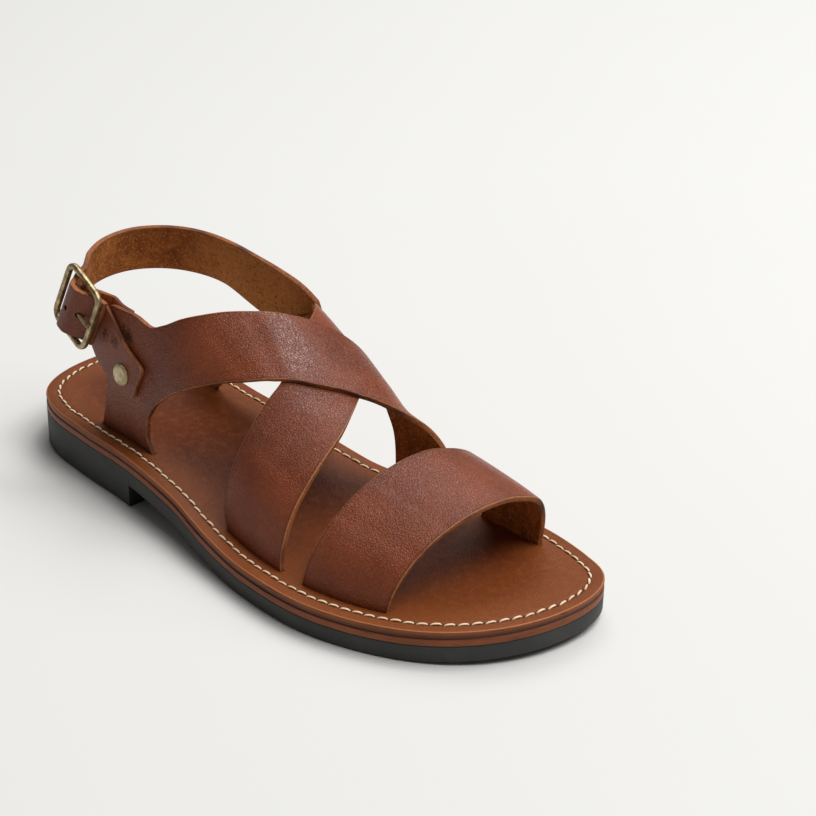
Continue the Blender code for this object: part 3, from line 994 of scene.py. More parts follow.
@dataclass(frozen=True)
class CutEdge:
    """Raw cut edge of the leather: tan fibres under a darker burnish."""

    tan: Color = (0.320, 0.104, 0.031)
    burnt: Color = (0.090, 0.025, 0.009)
    share: float = 0.60
    rough: float = 0.62
    specular: float = 0.3
    fibre_cells: float = 1100
    patch_cells: float = 70
    fibre_depth: float = 0.00040
    # colour and patches of painted shade on the cut edge
    painted_shade: Color = (0.120, 0.028, 0.010)
    painted_shade_patches: tuple[Patch, ...] = ()

    def make(self, name: str) -> Material:
        """Make the material.

        Args:
            name: Name of the material.

        Returns:
            The material.
        """
        n = NodeBench(name)
        where = n.where()
        fibre = n.noise(where, self.fibre_cells, 4, 0.7)
        patchy = n.noise(where, self.patch_cells, 3)
        middle = 0.5 + (0.5 - self.share) * 0.5
        color = n.mix(n.step(patchy, middle - 0.16, middle + 0.14), self.burnt, self.tan)
        color = n.mix(n.step(fibre, 0.50, 0.66) * 0.85, color, self.burnt)
        # painted shade: the edge is darkened in these patches
        for patch in self.painted_shade_patches:
            color = n.mix(n.near(where, patch) * 0.9, color, self.painted_shade)
        return n.surface(
            Base_Color=color,
            Roughness=self.rough,
            Normal=n.bump(fibre, self.fibre_depth, None, 0.8),
            Specular_IOR_Level=self.specular,
        )


@dataclass(frozen=True)
class FootbedLeather:
    """Smooth sole leather of the footbed, burnished at its rim with a painted highlight, and dark
    in its channel.
    """

    base: Color = (0.172, 0.0415, 0.0090)
    dark: Color = (0.104, 0.0225, 0.0050)
    light: Color = (0.250, 0.0710, 0.0170)
    # burnished rim, brightened further as a painted highlight on the rounded edge
    rim: Color = (0.480, 0.165, 0.0480)
    specular: float = 0.17
    channel: float = STITCH_INSET
    cloud_cells: float = 14
    swell_cells: float = 40
    mottle_cells: float = 300
    pore_cells: float = 1100
    swell_depth: float = 0.0008
    pore_depth: float = 0.00010

    def make(self, name: str) -> Material:
        """Make the material.

        Args:
            name: Name of the material.

        Returns:
            The material.
        """
        n = NodeBench(name)
        where = n.where()
        inset = n.kept("rim")
        cloud = n.noise(where, self.cloud_cells, 4)
        mottle = n.noise(where, self.mottle_cells, 5, 0.6)
        pores = n.step(n.cells(n.warped(where, 900, 0.0006), self.pore_cells), 0.0, 0.28)
        color = n.mix(n.step(cloud, 0.32, 0.68), self.dark, self.base)
        color = n.mix(n.step(mottle, 0.42, 0.76) * 0.6, color, self.light)
        color = n.mix((1 - pores) * 0.30, color, self.dark)
        color = n.mix((1 - n.step(inset, 7.0, 24.0)) * 0.45, color, self.light)
        # painted highlight along the rounded rim, on top of its burnish
        color = n.mix((1 - n.step(inset, 0.1, 0.7)) * 0.8, color, self.rim)
        channel = 1 - n.step((inset - self.channel).size(), 0.5, 1.3)
        color = n.mix(channel * 0.65, color, self.dark)
        relief = n.bump(n.noise(where, self.swell_cells, 3), self.swell_depth, None, 0.5)
        relief = n.bump(pores, self.pore_depth, relief, 0.8)
        return n.surface(
            Base_Color=color,
            Roughness=0.34 + mottle * 0.14,
            Normal=n.bump(mottle, self.pore_depth, relief, 0.5),
            Specular_IOR_Level=self.specular,
        )


@dataclass(frozen=True)
class SoleEdge:
    """Burnished side of a leather sole layer."""

    base: Color = (0.225, 0.061, 0.0190)
    dark: Color = (0.046, 0.0130, 0.0052)
    light: Color = (0.320, 0.096, 0.0290)
    specular: float = 0.28
    streak_cells: float = 120
    streak_stretch: float = 14.0
    patch_cells: float = 35
    shade_cells: float = 11
    streak_depth: float = 0.00030

    def make(self, name: str) -> Material:
        """Make the material.

        Args:
            name: Name of the material.

        Returns:
            The material.
        """
        n = NodeBench(name)
        where = n.where()
        drawn = n.stretched(where, (1.0, 1.0, self.streak_stretch))
        streak = n.noise(drawn, self.streak_cells, 4, 0.6)
        patchy = n.noise(where, self.patch_cells, 3)
        uneven = n.step(n.noise(where, self.shade_cells, 2), 0.40, 0.60)
        shade = n.kept("shade") * (0.25 + uneven * 0.50)
        color = n.mix(n.step(streak, 0.22, 0.52), self.dark, self.base)
        color = n.mix(n.step(patchy, 0.42, 0.66) * 0.55, color, self.light)
        color = n.mix(shade, color, self.dark)
        return n.surface(
            Base_Color=color,
            Roughness=0.40 + streak * 0.15,
            Normal=n.bump(streak, self.streak_depth, None, 0.6),
            Specular_IOR_Level=self.specular,
        )


@dataclass(frozen=True)
class SoleRubber:
    """Matt black moulded rubber."""

    base: Color = (0.024, 0.024, 0.0225)
    dusty: Color = (0.048, 0.046, 0.042)
    grain_cells: float = 1400
    bloom_cells: float = 60
    grain_depth: float = 0.00012

    def make(self, name: str) -> Material:
        """Make the material.

        Args:
            name: Name of the material.

        Returns:
            The material.
        """
        n = NodeBench(name)
        where = n.where()
        grain = n.noise(where, self.grain_cells, 3, 0.6)
        bloom = n.noise(where, self.bloom_cells, 4)
        color = n.mix(n.step(bloom, 0.40, 0.75) * 0.7, self.base, self.dusty)
        relief = n.bump(grain, self.grain_depth, None, 0.6)
        return n.surface(Base_Color=color, Roughness=0.56 + bloom * 0.14, Normal=relief)


@dataclass(frozen=True)
class AntiqueBrass:
    """Dulled brass with dark in its hollows."""

    base: Color = (0.470, 0.365, 0.195)
    worn: Color = (0.640, 0.530, 0.320)
    dark: Color = (0.210, 0.150, 0.075)
    metal: float = 0.9
    film_cells: float = 330
    speck_cells: float = 1300
    film_depth: float = 0.00008
    speck_depth: float = 0.00005

    def make(self, name: str) -> Material:
        """Make the material.

        Args:
            name: Name of the material.

        Returns:
            The material.
        """
        n = NodeBench(name)
        where = n.where()
        film = n.noise(where, self.film_cells, 5, 0.65)
        speck = n.noise(where, self.speck_cells, 3)
        color = n.mix(n.step(film, 0.36, 0.58), self.dark, self.base)
        color = n.mix(n.step(film, 0.54, 0.74), color, self.worn)
        relief = n.bump(film, self.film_depth, None, 0.3)
        return n.surface(
            Base_Color=color,
            Metallic=self.metal,
            Roughness=0.30 + film * 0.22,
            Normal=n.bump(speck, self.speck_depth, relief, 0.4),
        )


@dataclass(frozen=True)
class Thread:
    """Waxed cream thread."""

    base: Color = (0.880, 0.670, 0.450)
    dirty: Color = (0.600, 0.370, 0.200)
    rough: float = 0.6
    strand_cells: float = 1500
    grime_cells: float = 90
    strand_depth: float = 0.0002

    def make(self, name: str) -> Material:
        """Make the material.

        Args:
            name: Name of the material.

        Returns:
            The material.
        """
        n = NodeBench(name)
        where = n.where()
        strand = n.noise(where, self.strand_cells, 2)
        grime = n.noise(where, self.grime_cells, 3)
        color = n.mix(n.step(grime, 0.45, 0.70) * 0.6, self.base, self.dirty)
        color = n.mix(n.step(strand, 0.55, 0.75) * 0.4, color, self.dirty)
        relief = n.bump(strand, self.strand_depth, None, 0.6)
        return n.surface(Base_Color=color, Roughness=self.rough, Normal=relief)


@dataclass(frozen=True)
class NeedleHoleShade:
    """Painted shade inside a hole that thread goes down through."""

    base: Color = (0.020, 0.009, 0.005)
    fluff: Color = (0.035, 0.015, 0.008)
    rough: float = 0.9
    speck_cells: float = 900

    def make(self, name: str) -> Material:
        """Make the material.

        Args:
            name: Name of the material.

        Returns:
            The material.
        """
        n = NodeBench(name)
        speck = n.noise(n.where(), self.speck_cells, 2)
        return n.surface(Base_Color=n.mix(speck, self.base, self.fluff), Roughness=self.rough)


# Sole


@dataclass
class SeamLine:
    """The closed line round the footbed that the stitches follow."""

    shape: SoleShape
    plan: np.ndarray
    reach: float = 0.4

    def __post_init__(self) -> None:
        """Close the line and measure it."""
        self.plan = np.concatenate((self.plan, self.plan[:1]))
        steps = np.linalg.norm(np.diff(self.plan, axis=0), axis=1)
        self.run = np.concatenate(((0.0,), np.cumsum(steps)))

    def point(self, at: np.ndarray) -> np.ndarray:
        """Points of the footbed's top at distances round the line.

        Args:
            at: Distances from the back of the heel.

        Returns:
            The points.
        """
        at = np.mod(at, self.run[-1])
        x, y = (np.interp(at, self.run, self.plan[:, k]) for k in (0, 1))
        return stack(x, y, self.shape.top(x))

    def ahead(self, at: np.ndarray) -> np.ndarray:
        """Unit directions of the line at distances round it."""
        way = self.point(at + self.reach) - self.point(at - self.reach)
        return way / np.linalg.norm(way, axis=1, keepdims=True)


@dataclass
class SoleUnit:
    """Rubber sole, midsole, footbed and the stitching round its rim."""

    bench: Workbench
    shape: SoleShape
    last: LastShape
    around: int = 460
    spine_ends: tuple[float, float] = (44.0, 232.0)
    midsole_gap: float = 0.02
    footbed_gap: float = 0.03
    strap_wall: float = STRAP_WALL
    slot_gap: float = FIT_GAP
    slot_depth: float = 2.9
    slot_clear: float = 3.0
    stitch_inset: float = STITCH_INSET
    stitch_pitch: float = 5.0
    stitch_length: float = 4.7
    stitch_slant: float = 0.75
    stitch_rise: float = 0.20
    stitch_dip: float = 0.72
    stitch_points: int = 9
    round_points: int = 8
    thread: float = 0.50
    thread_flat: float = 0.8
    hole_size: tuple[float, float] = (0.85, 0.62)
    hole_depth: float = 0.26
    hole_tip: float = 0.05

    def spine(self, plan: np.ndarray) -> np.ndarray:
        """Points of the sole's middle line that the outline's points go in to.

        Args:
            plan: Points of the outline.

        Returns:
            One point for each of them.
        """
        x = np.clip(plan[:, 0], *self.spine_ends)
        lateral, medial = self.shape.edges(x)
        return np.stack((x, (lateral + medial) / 2), axis=-1)

    def rings(self, plan: np.ndarray, inset: float, share: float = 0.0) -> np.ndarray:
        """The outline moved in by a distance, then a share of the way to the spine."""
        moved = plan + self.shape.inward(plan) * inset
        return moved + (self.spine(plan) - moved) * share

    def slab(
        self, name: str, low: float, high: float, profile: Table, materials: Materials
    ) -> Piece:
        """A leather layer of the sole, from its underside round its edge to its top.

        Args:
            name: Name of the piece.
            low: Underside over the shank line.
            high: Top over the shank line.
            profile: Columns inset, share, drop from the top, rim, shade and face.
            materials: Material of each face number.

        Returns:
            The piece.
        """
        plan = self.shape.outline(self.around)
        columns = len(plan) + 1
        rows = []
        for inset, share, drop in zip(*(profile.data[c] for c in ("inset", "share", "drop"))):
            ring = self.rings(plan, inset, share)
            ring = np.concatenate((ring, ring[:1]))
            level = low if drop >= UNDERSIDE else high - drop
            rows.append(stack(ring[:, 0], ring[:, 1], self.shape.shank(ring[:, 0]) + level))
        obj = self.bench.wrap(name, np.array(rows))
        for mark in ("rim", "shade"):
            self.bench.mark(obj, mark, np.repeat(profile.data[mark], columns))
        self.bench.dress(obj, *materials)
        self.bench.faces_of_rows(obj, columns, profile.data["face"][:-1])
        self.bench.weld(obj)
        return obj

    def outsole(self, rubber: Material) -> Piece:
        """Rubber sole with its heel block.

        Args:
            rubber: Its material.

        Returns:
            The piece.
        """
        plan = self.shape.outline(self.around)
        breast = self.shape.heel_breast * self.shape.length
        lateral, medial = (float(e) for e in self.shape.edges(breast))
        front = plan[:, 0] > breast
        order = np.arange(len(plan))
        outer = int(order[front & (plan[:, 1] < 0)].min())
        toe = int(np.argmax(plan[:, 0]))
        inner = int(order[(order > toe) & ~front].min())
        corners = [(breast, lateral)] * 2 + [(breast, medial)] * 2
        doubled = [outer, outer, inner, inner]
        edge = np.insert(plan, doubled, corners, axis=0)
        place = np.arange(len(edge))
        on_heel = (place <= outer) | (place >= inner + len(corners) - 1)
        ways = self.shape.inward(plan)
        ways = np.insert(ways, doubled, ways[doubled], axis=0)
        spine = self.spine(edge)
        profile = Table(
            "inset share drop",
            (0, 1, UNDERSIDE),
            (2.0, 0, UNDERSIDE),
            (0.9, 0, UNDERSIDE),
            (0.35, 0, UNDERSIDE - 0.2),
            (0.1, 0, UNDERSIDE - 0.6),
            (0, 0, 0.5),
            (0.12, 0, 0.15),
            (0.5, 0, 0),
            (2.0, 0, 0),
            (0, 1, 0),
        )
        rows = []
        for inset, share, drop in zip(*(profile.data[c] for c in ("inset", "share", "drop"))):
            ring = edge + ways * inset
            ring[np.abs(edge[:, 0] - breast) < 1e-9, 0] = breast
            ring = ring + (spine - ring) * share
            upper = self.shape.shank(ring[:, 0])
            floor = np.where(on_heel, 0.0, upper)
            lifted = drop < self.shape.rubber
            z = upper + self.shape.rubber - drop if lifted else floor + UNDERSIDE - drop
            ring = stack(ring[:, 0], ring[:, 1], z)
            rows.append(np.concatenate((ring, ring[:1])))
        obj = self.bench.wrap("outsole_rubber", np.array(rows))
        self.bench.weld(obj)
        self.bench.soften(obj)
        self.bench.dress(obj, rubber)
        return self.bench.keep(obj, ["outsole"], "rubber")

    def midsole(self, side: Material) -> Piece:
        """Leather layer over the rubber.

        Args:
            side: Its material.

        Returns:
            The piece.
        """
        profile = Table(
            "inset share drop rim shade face",
            (0, 1, UNDERSIDE, 9, 0, 0),
            (2.0, 0, UNDERSIDE, 9, 0.9, 0),
            (0.20, 0, UNDERSIDE, 0, 0.8, 0),
            (0.03, 0, 2.80, 0, 0.2, 0),
            (0.0, 0, 2.50, 0, 0, 0),
            (0.0, 0, 0.60, 0, 0, 0),
            (0.08, 0, 0.32, 0, 0.1, 0),
            (0.40, 0, 0.08, 0, 0.9, 0),
            (1.2, 0, 0.02, 9, 1, 0),
            (0, 1, 0.02, 9, 1, 0),
        )
        low = self.shape.rubber + self.midsole_gap
        obj = self.slab("midsole_leather", low, low + self.shape.midsole, profile, (side,))
        self.bench.soften(obj, 60)
        return self.bench.keep(obj, ["midsole"], "edge_leather")

    def footbed(
        self, top: Material, side: Material, landings: Sequence[tuple[float, float, Side]]
    ) -> Piece:
        """Top leather layer, with its rounded rim, its stitched channel and the straps' slots.

        Args:
            top: Material of the top.
            side: Material of the side.
            landings: Rear and front end of each slot, and its side.

        Returns:
            The piece.
        """
        d = self.stitch_inset
        profile = Table(
            "inset share drop rim shade face",
            (0, 1, UNDERSIDE, 9, 0, 1),
            (2.5, 0, UNDERSIDE, 9, 0.9, 1),
            (0.45, 0, UNDERSIDE, 0, 1.0, 1),
            (0.42, 0, 2.60, 0, 0.9, 1),
            (0.30, 0, 2.00, 0, 0.75, 1),
            (0.10, 0, 1.50, 0, 0.5, 1),
            (0.02, 0, 1.10, 0, 0.15, 1),
            (0.00, 0, 0.80, 0, 0, 1),
            (0.04, 0, 0.50, 0, 0, 1),
            (0.16, 0, 0.24, 0, 0, 0),
            (0.42, 0, 0.06, 0.1, 0, 0),
            (0.9, 0, 0, 0.9, 0, 0),
            (3.0, 0, 0, 3.0, 0, 0),
            (d - 1.0, 0, 0, d - 1.0, 0, 0),
            (d - 0.55, 0, 0.16, d - 0.55, 0, 0),
            (d, 0, 0.32, d, 0, 0),
            (d + 0.55, 0, 0.16, d + 0.55, 0, 0),
            (d + 1.0, 0, 0, d + 1.0, 0, 0),
            (d + 3.0, 0, 0, d + 3.0, 0, 0),
            (d + 3.0, 0.18, 0, 12, 0, 0),
            (d + 3.0, 0.40, 0, 20, 0, 0),
            (d + 3.0, 0.70, 0, 30, 0, 0),
            (0, 1, 0, 40, 0, 0),
        )
        base = self.shape.rubber + self.shape.midsole
        low, high = base + self.footbed_gap, base + self.shape.footbed
        obj = self.slab("footbed_leather", low, high, profile, (top, side))
        for rear, front, where in landings:
            self.bench.cut(obj, self.slot(rear, front, where))
        self.bench.soften(obj, 50)
        return self.bench.keep(obj, ["footbed"], "bed_leather")

    def slot(self, rear: float, front: float, where: Side) -> Piece:
        """Cutter for the slot that a strap goes down through.

        Args:
            rear: Rear end of the strap where it meets the footbed.
            front: Front end of it.
            where: Side of the foot.

        Returns:
            The cutter.
        """
        gap = self.slot_gap
        inner = where is Side.INNER
        x = np.linspace(rear - gap, front + gap, 9)
        y = self.last.slots(x)[where.value] + (gap if inner else -gap)
        z = self.shape.top(x)
        ends = [z - self.slot_depth, z + self.slot_clear]
        if not inner:
            ends.reverse()
        points = np.stack([stack(x, y, e) for e in ends], axis=1)
        obj = self.bench.wrap("slot_cutter", points)
        thickness = (self.strap_wall + 2 * gap) * MM
        self.bench.modify(obj, "SOLIDIFY", thickness=thickness, offset=-1.0)
        return obj

    def stitches(self, thread: Material, dark: Material) -> None:
        """Saddle stitches in the channel round the rim, and the holes that they go down through,
        whose dark is painted shade.

        Args:
            thread: Material of the stitches.
            dark: Material of the holes' painted shade.
        """
        fine = self.shape.outline(4000)
        seam = SeamLine(self.shape, self.rings(fine, self.stitch_inset))
        count = int(round(seam.run[-1] / self.stitch_pitch))
        pitch = seam.run[-1] / count
        starts = np.arange(count) * pitch
        ahead = seam.ahead(starts)
        sideways = np.cross(ALOFT, ahead)
        self.threads(seam, starts, sideways, thread)
        self.holes(seam.point(starts + 0.5 * pitch), ahead, sideways, dark)

    def threads(
        self, seam: SeamLine, starts: np.ndarray, sideways: np.ndarray, thread: Material
    ) -> None:
        """The stitches: slanted lengths of thread whose ends go down into the leather.

        Args:
            seam: Line that they follow.
            starts: Middle of each stitch, as a distance round the line.
            sideways: Direction across the line at each stitch.
            thread: Their material.
        """
        along, about = self.stitch_points, self.round_points
        s = np.linspace(-0.5, 0.5, along)
        bow = np.abs(2 * s) ** 3
        width = self.thread * np.sqrt(np.clip(1 - 0.95 * bow, 0.02, 1))
        rise = self.stitch_rise - self.stitch_dip * bow
        turn = np.linspace(0, 2 * math.pi, about, endpoint=False)
        wobble = 0.18 * np.sin(starts * 1.7) + 0.10 * np.sin(starts * 4.1)
        middle = seam.point(starts[:, None] + s[None] * self.stitch_length)
        slant = (wobble[:, None] + s[None] * self.stitch_slant)[..., None] * sideways[:, None]
        centre = middle + slant + rise[None, :, None] * ALOFT
        across = (width[:, None] * np.cos(turn))[None, :, :, None] * sideways[:, None, None]
        upward = (self.thread_flat * width[:, None] * np.sin(turn))[None, :, :, None] * ALOFT
        points = (centre[:, :, None] + across + upward).reshape(-1, 3)
        faces = []
        for base in range(0, len(points), along * about):
            for i in range(along - 1):
                a, b = base + i * about, base + (i + 1) * about
                for j in range(about):
                    m = (j + 1) % about
                    faces.append((a + j, b + j, b + m, a + m))
            faces.append(tuple(base + j for j in range(about)))
            faces.append(tuple(base + (along - 1) * about + j for j in reversed(range(about))))
        self._joined("rim_stitches", points, faces, thread)

    def holes(
        self, spots: np.ndarray, ahead: np.ndarray, sideways: np.ndarray, dark: Material
    ) -> None:
        """Low dark cones in the channel between the stitches, painted shade of the needle holes.

        Args:
            spots: Middle of each hole on the footbed's top.
            ahead: Direction of the line at each stitch.
            sideways: Direction across the line at each stitch.
            dark: Their material.
        """
        about = self.round_points
        turn = np.linspace(0, 2 * math.pi, about, endpoint=False)
        long, short = self.hole_size
        flat = spots[:, None] - self.hole_depth * ALOFT
        flat = flat + (long * np.cos(turn))[None, :, None] * ahead[:, None]
        flat = flat + (short * np.sin(turn))[None, :, None] * sideways[:, None]
        tips = spots - self.hole_tip * ALOFT
        points = np.concatenate((flat, tips[:, None]), axis=1).reshape(-1, 3)
        faces = []
        for base in range(0, len(points), about + 1):
            faces += [(base + j, base + (j + 1) % about, base + about) for j in range(about)]
            faces.append(tuple(base + j for j in reversed(range(about))))
        self._joined("needle_holes", points, faces, dark)

    def _joined(
        self, name: str, points: np.ndarray, faces: list[tuple[int, ...]], material: Material
    ) -> None:
        """One mesh of many small shapes.

        Args:
            name: Name of the piece.
            points: Points of all the shapes.
            faces: Point numbers of each face.
            material: Their material.
        """
        mesh = bpy.data.meshes.new(name)
        mesh.from_pydata(self.bench.place(points).tolist(), [], faces)
        mesh.update()
        obj = bpy.data.objects.new(name, mesh)
        bpy.context.scene.collection.objects.link(obj)
        self.bench.outward(obj)
        self.bench.soften(obj, 70)
        self.bench.dress(obj, material)
        self.bench.keep(obj, [], None)


# Straps


@dataclass
class Crease:
    """A soft trough pressed into a strap between two places on the last."""

    start: tuple[float, float]
    end: tuple[float, float]
    depth: float
    width: float


@dataclass
class StrapSet:
    """The toe band and the two straps that cross over the instep."""

    bench: Workbench
    last: LastShape
    wall: float = STRAP_WALL
    seat: float = 2.6
    lap: float = 2.05
    climb_length: float = 30.0
    climb_gap: float = 4.0
    toe_net: tuple[int, int] = (150, 44)
    crossing_net: tuple[int, int] = (260, 40)
    toe_band: Table = Table(
        "across rear front",
        (0.00, 194, 231),
        (0.10, 196, 232.6),
        (0.20, 197.4, 234.3),
        (0.34, 199.4, 237),
        (0.42, 200.6, 238.8),
        (0.52, 202.4, 241),
        (0.65, 206, 243),
        (0.80, 207, 241.5),
        (1.00, 207, 239),
    )
    over: Table = Table(
        "rear rear_across front front_across",
        (53, 0.000, 89.5, 0.000),
        (55.5, 0.025, 85.5, 0.022),
        (57, 0.055, 86, 0.045),
        (57, 0.085, 88, 0.060),
        (57, 0.115, 90, 0.072),
        (58, 0.141, 92, 0.083),
        (66, 0.153, 94, 0.092),
        (75, 0.167, 97, 0.106),
        (83.5, 0.179, 101, 0.126),
        (91, 0.210, 107, 0.153),
        (99, 0.261, 116, 0.196),
        (107, 0.316, 124, 0.237),
        (117.5, 0.402, 136, 0.303),
        (127.5, 0.492, 148, 0.383),
        (134, 0.552, 159, 0.451),
        (140, 0.615, 168, 0.510),
        (146, 0.700, 177, 0.610),
        (154, 0.790, 184.5, 0.740),
        (161, 0.880, 190, 0.880),
        (164, 1.000, 192, 1.000),
    )
    under: Table = Table(
        "rear rear_across front front_across",
        (146, 0.000, 182, 0.000),
        (143, 0.050, 181.4, 0.045),
        (143.5, 0.130, 180.8, 0.125),
        (145, 0.237, 179.5, 0.244),
        (145, 0.340, 176, 0.375),
        (140, 0.430, 169, 0.470),
        (134.3, 0.510, 161, 0.550),
        (129.5, 0.578, 155, 0.605),
        (124.5, 0.634, 149, 0.675),
        (119.6, 0.682, 143, 0.750),
        (116.4, 0.735, 136.5, 0.807),
        (112.6, 0.776, 129, 0.861),
        (108.2, 0.804, 121, 0.902),
        (101, 0.840, 111, 0.932),
        (86, 0.889, 99, 0.953),
        (68, 0.928, 86, 0.971),
        (48, 0.959, 74, 0.986),
        (35, 1.000, 63, 1.000),
    )
    creases: tuple[Crease, ...] = (
        Crease((112, 0.30), (131, 0.30), 0.30, 3.0),
        Crease((122, 0.40), (142, 0.36), 0.35, 2.6),
        Crease((130, 0.47), (152, 0.42), 0.30, 2.4),
        Crease((70, 0.130), (92, 0.120), 0.35, 3.0),
        Crease((150, 0.22), (176, 0.23), 0.25, 2.6),
        Crease((152, 0.10), (180, 0.09), 0.25, 3.2),
        Crease((199, 0.24), (232, 0.22), 0.25, 3.0),
        Crease((201, 0.36), (236, 0.33), 0.20, 2.6),
        Crease((204, 0.58), (240, 0.60), 0.25, 3.4),
    )

    def landings(self) -> list[tuple[float, float, Side]]:
        """Rear and front end of each slot in the footbed.

        Returns:
            The ends and the side of each slot.
        """
        rows = []
        for strap in (self.toe_band, self.over, self.under):
            rows.append((strap.first("rear"), strap.first("front"), Side.OUTER))
            rows.append((strap.last("rear"), strap.last("front"), Side.INNER))
        return rows

    def climb(self, x: np.ndarray, across: np.ndarray) -> np.ndarray:
        """How far the strap on top stands off the last where it climbs onto the strap below.

        Args:
            x: Places along the sole.
            across: Shares of the way over the foot.

        Returns:
            The distances.
        """
        rear = self.under.ease("rear_across", "rear", across)
        front = self.under.ease("front_across", "front", across)
        onto = smooth(rear - self.climb_length, rear - self.climb_gap, x)
        past = smooth(front + self.climb_gap, front + self.climb_length, x)
        return self.lap * onto * (1 - past)

    def pressed(self, x: np.ndarray, across: np.ndarray) -> np.ndarray:
        """Depth of the creases at places on the last.

        Args:
            x: Places along the sole.
            across: Shares of the way over the foot.

        Returns:
            Distances outward, below zero in a crease.
        """
        here = self.last.surface(x, across)
        depth = np.zeros(x.shape)
        for crease in self.creases:
            a, b = (self.last.surface(*end) for end in (crease.start, crease.end))
            way = b - a
            share = np.clip(((here - a) @ way) / (way @ way), 0, 1)
            gap = np.linalg.norm(here - a - share[..., None] * way, axis=-1)
            depth -= crease.depth * np.exp(-((gap / crease.width) ** 2))
        return depth

    def seated(self, sections: np.ndarray) -> np.ndarray:
        """Sections of a strap with its ends carried down into the slots.

        Args:
            sections: Rows of points across it.

        Returns:
            The rows, with two more at each end.
        """
        ends = []
        for row in (sections[0], sections[-1]):
            ends.append([row - ALOFT * d for d in (self.seat, self.seat / 2)])
        return np.concatenate((ends[0], sections, ends[1][::-1]))

    def crossing(self, rows: Table, over: bool) -> np.ndarray:
        """Sections of one of the crossed straps.

        Args:
            rows: Its table.
            over: Whether it is the one on top.

        Returns:
            Net of points.
        """
        share, w = (np.linspace(0, 1, count) for count in self.crossing_net)
        rear, rear_t, front, front_t = (
            rows.along(c, share)[:, None] for c in ("rear", "rear_across", "front", "front_across")
        )
        x, t = rear + (front - rear) * w, rear_t + (front_t - rear_t) * w
        off = self.pressed(x, t) + (self.climb(x, t) if over else 0.0)
        return self.seated(self.last.point(x, t, off))

    def build_toe_band(self, materials: Materials) -> Piece:
        """Wide band over the toes.

        Args:
            materials: Material of each face of the leather.

        Returns:
            The piece.
        """
        t, w = (np.linspace(0, 1, count) for count in self.toe_net)
        rear, front = (self.toe_band.ease("across", c, t)[:, None] for c in ("rear", "front"))
        x = rear + (front - rear) * w
        t = np.broadcast_to(t[:, None], x.shape)
        net = self.seated(self.last.point(x, t, self.pressed(x, t)))
        obj = self.bench.leather("toe_strap_leather", net, materials, self.wall)
        return self.bench.keep(obj, ["toe_strap"], "upper_leather")

    def build_crossing(self, materials: Materials, rivets: "RivetPair") -> Piece:
        """The crossed straps with the quarters, the upper one over the lower.

        Args:
            materials: Material of each face of the leather.
            rivets: The rivets, for their holes.

        Returns:
            The piece.
        """
        straps = []
        for name, rows, over, side in (
            ("instep_straps_leather", self.over, True, Side.OUTER),
            ("under_strap_leather", self.under, False, Side.INNER),
        ):
            strap = self.bench.leather(name, self.crossing(rows, over), materials, self.wall)
            self.bench.cut(strap, rivets.bore(side))
            straps.append(strap)
        self.bench.join(*straps)
        return self.bench.keep(straps[0], ["instep_straps"], "upper_leather")


# Buckle, heel strap, chape and rivets


@dataclass
class BuckleSeat:
    """Where the buckle lies: its middle, and directions along the strap, across it and outward."""

    at: tuple[float, float, float] = (44.1, -40.3, 72.9)
    yaw: float = -8.0
    slope: float = 20.0
    lean: float = 9.0

    def axes(self) -> tuple[np.ndarray, np.ndarray, np.ndarray]:
        """Unit directions along, across and out.

        Returns:
            The three directions.
        """
        yaw, slope, lean = (math.radians(a) for a in (self.yaw, self.slope, self.lean))
        forward = np.array((math.cos(yaw), math.sin(yaw), 0.0))
        outward = np.array((math.sin(yaw), -math.cos(yaw), 0.0))
        upward = np.array((0.0, 0.0, math.cos(lean))) - outward * math.sin(lean)
        run = forward * math.cos(slope) - upward * math.sin(slope)
        across = upward * math.cos(slope) + forward * math.sin(slope)
        return run, across, np.cross(run, across)

    def point(self, s: Number, w: Number, n: Number) -> np.ndarray:
        """Points at distances along, across and out of the buckle.

        Args:
            s: Distances along the strap, forward.
            w: Distances across it, up.
            n: Distances outward.

        Returns:
            The points.
        """
        run, across, out = self.axes()
        s, w, n = np.broadcast_arrays(*(np.asarray(v, float)[..., None] for v in (s, w, n)))
        return np.array(self.at) + run * s + across * w + out * n


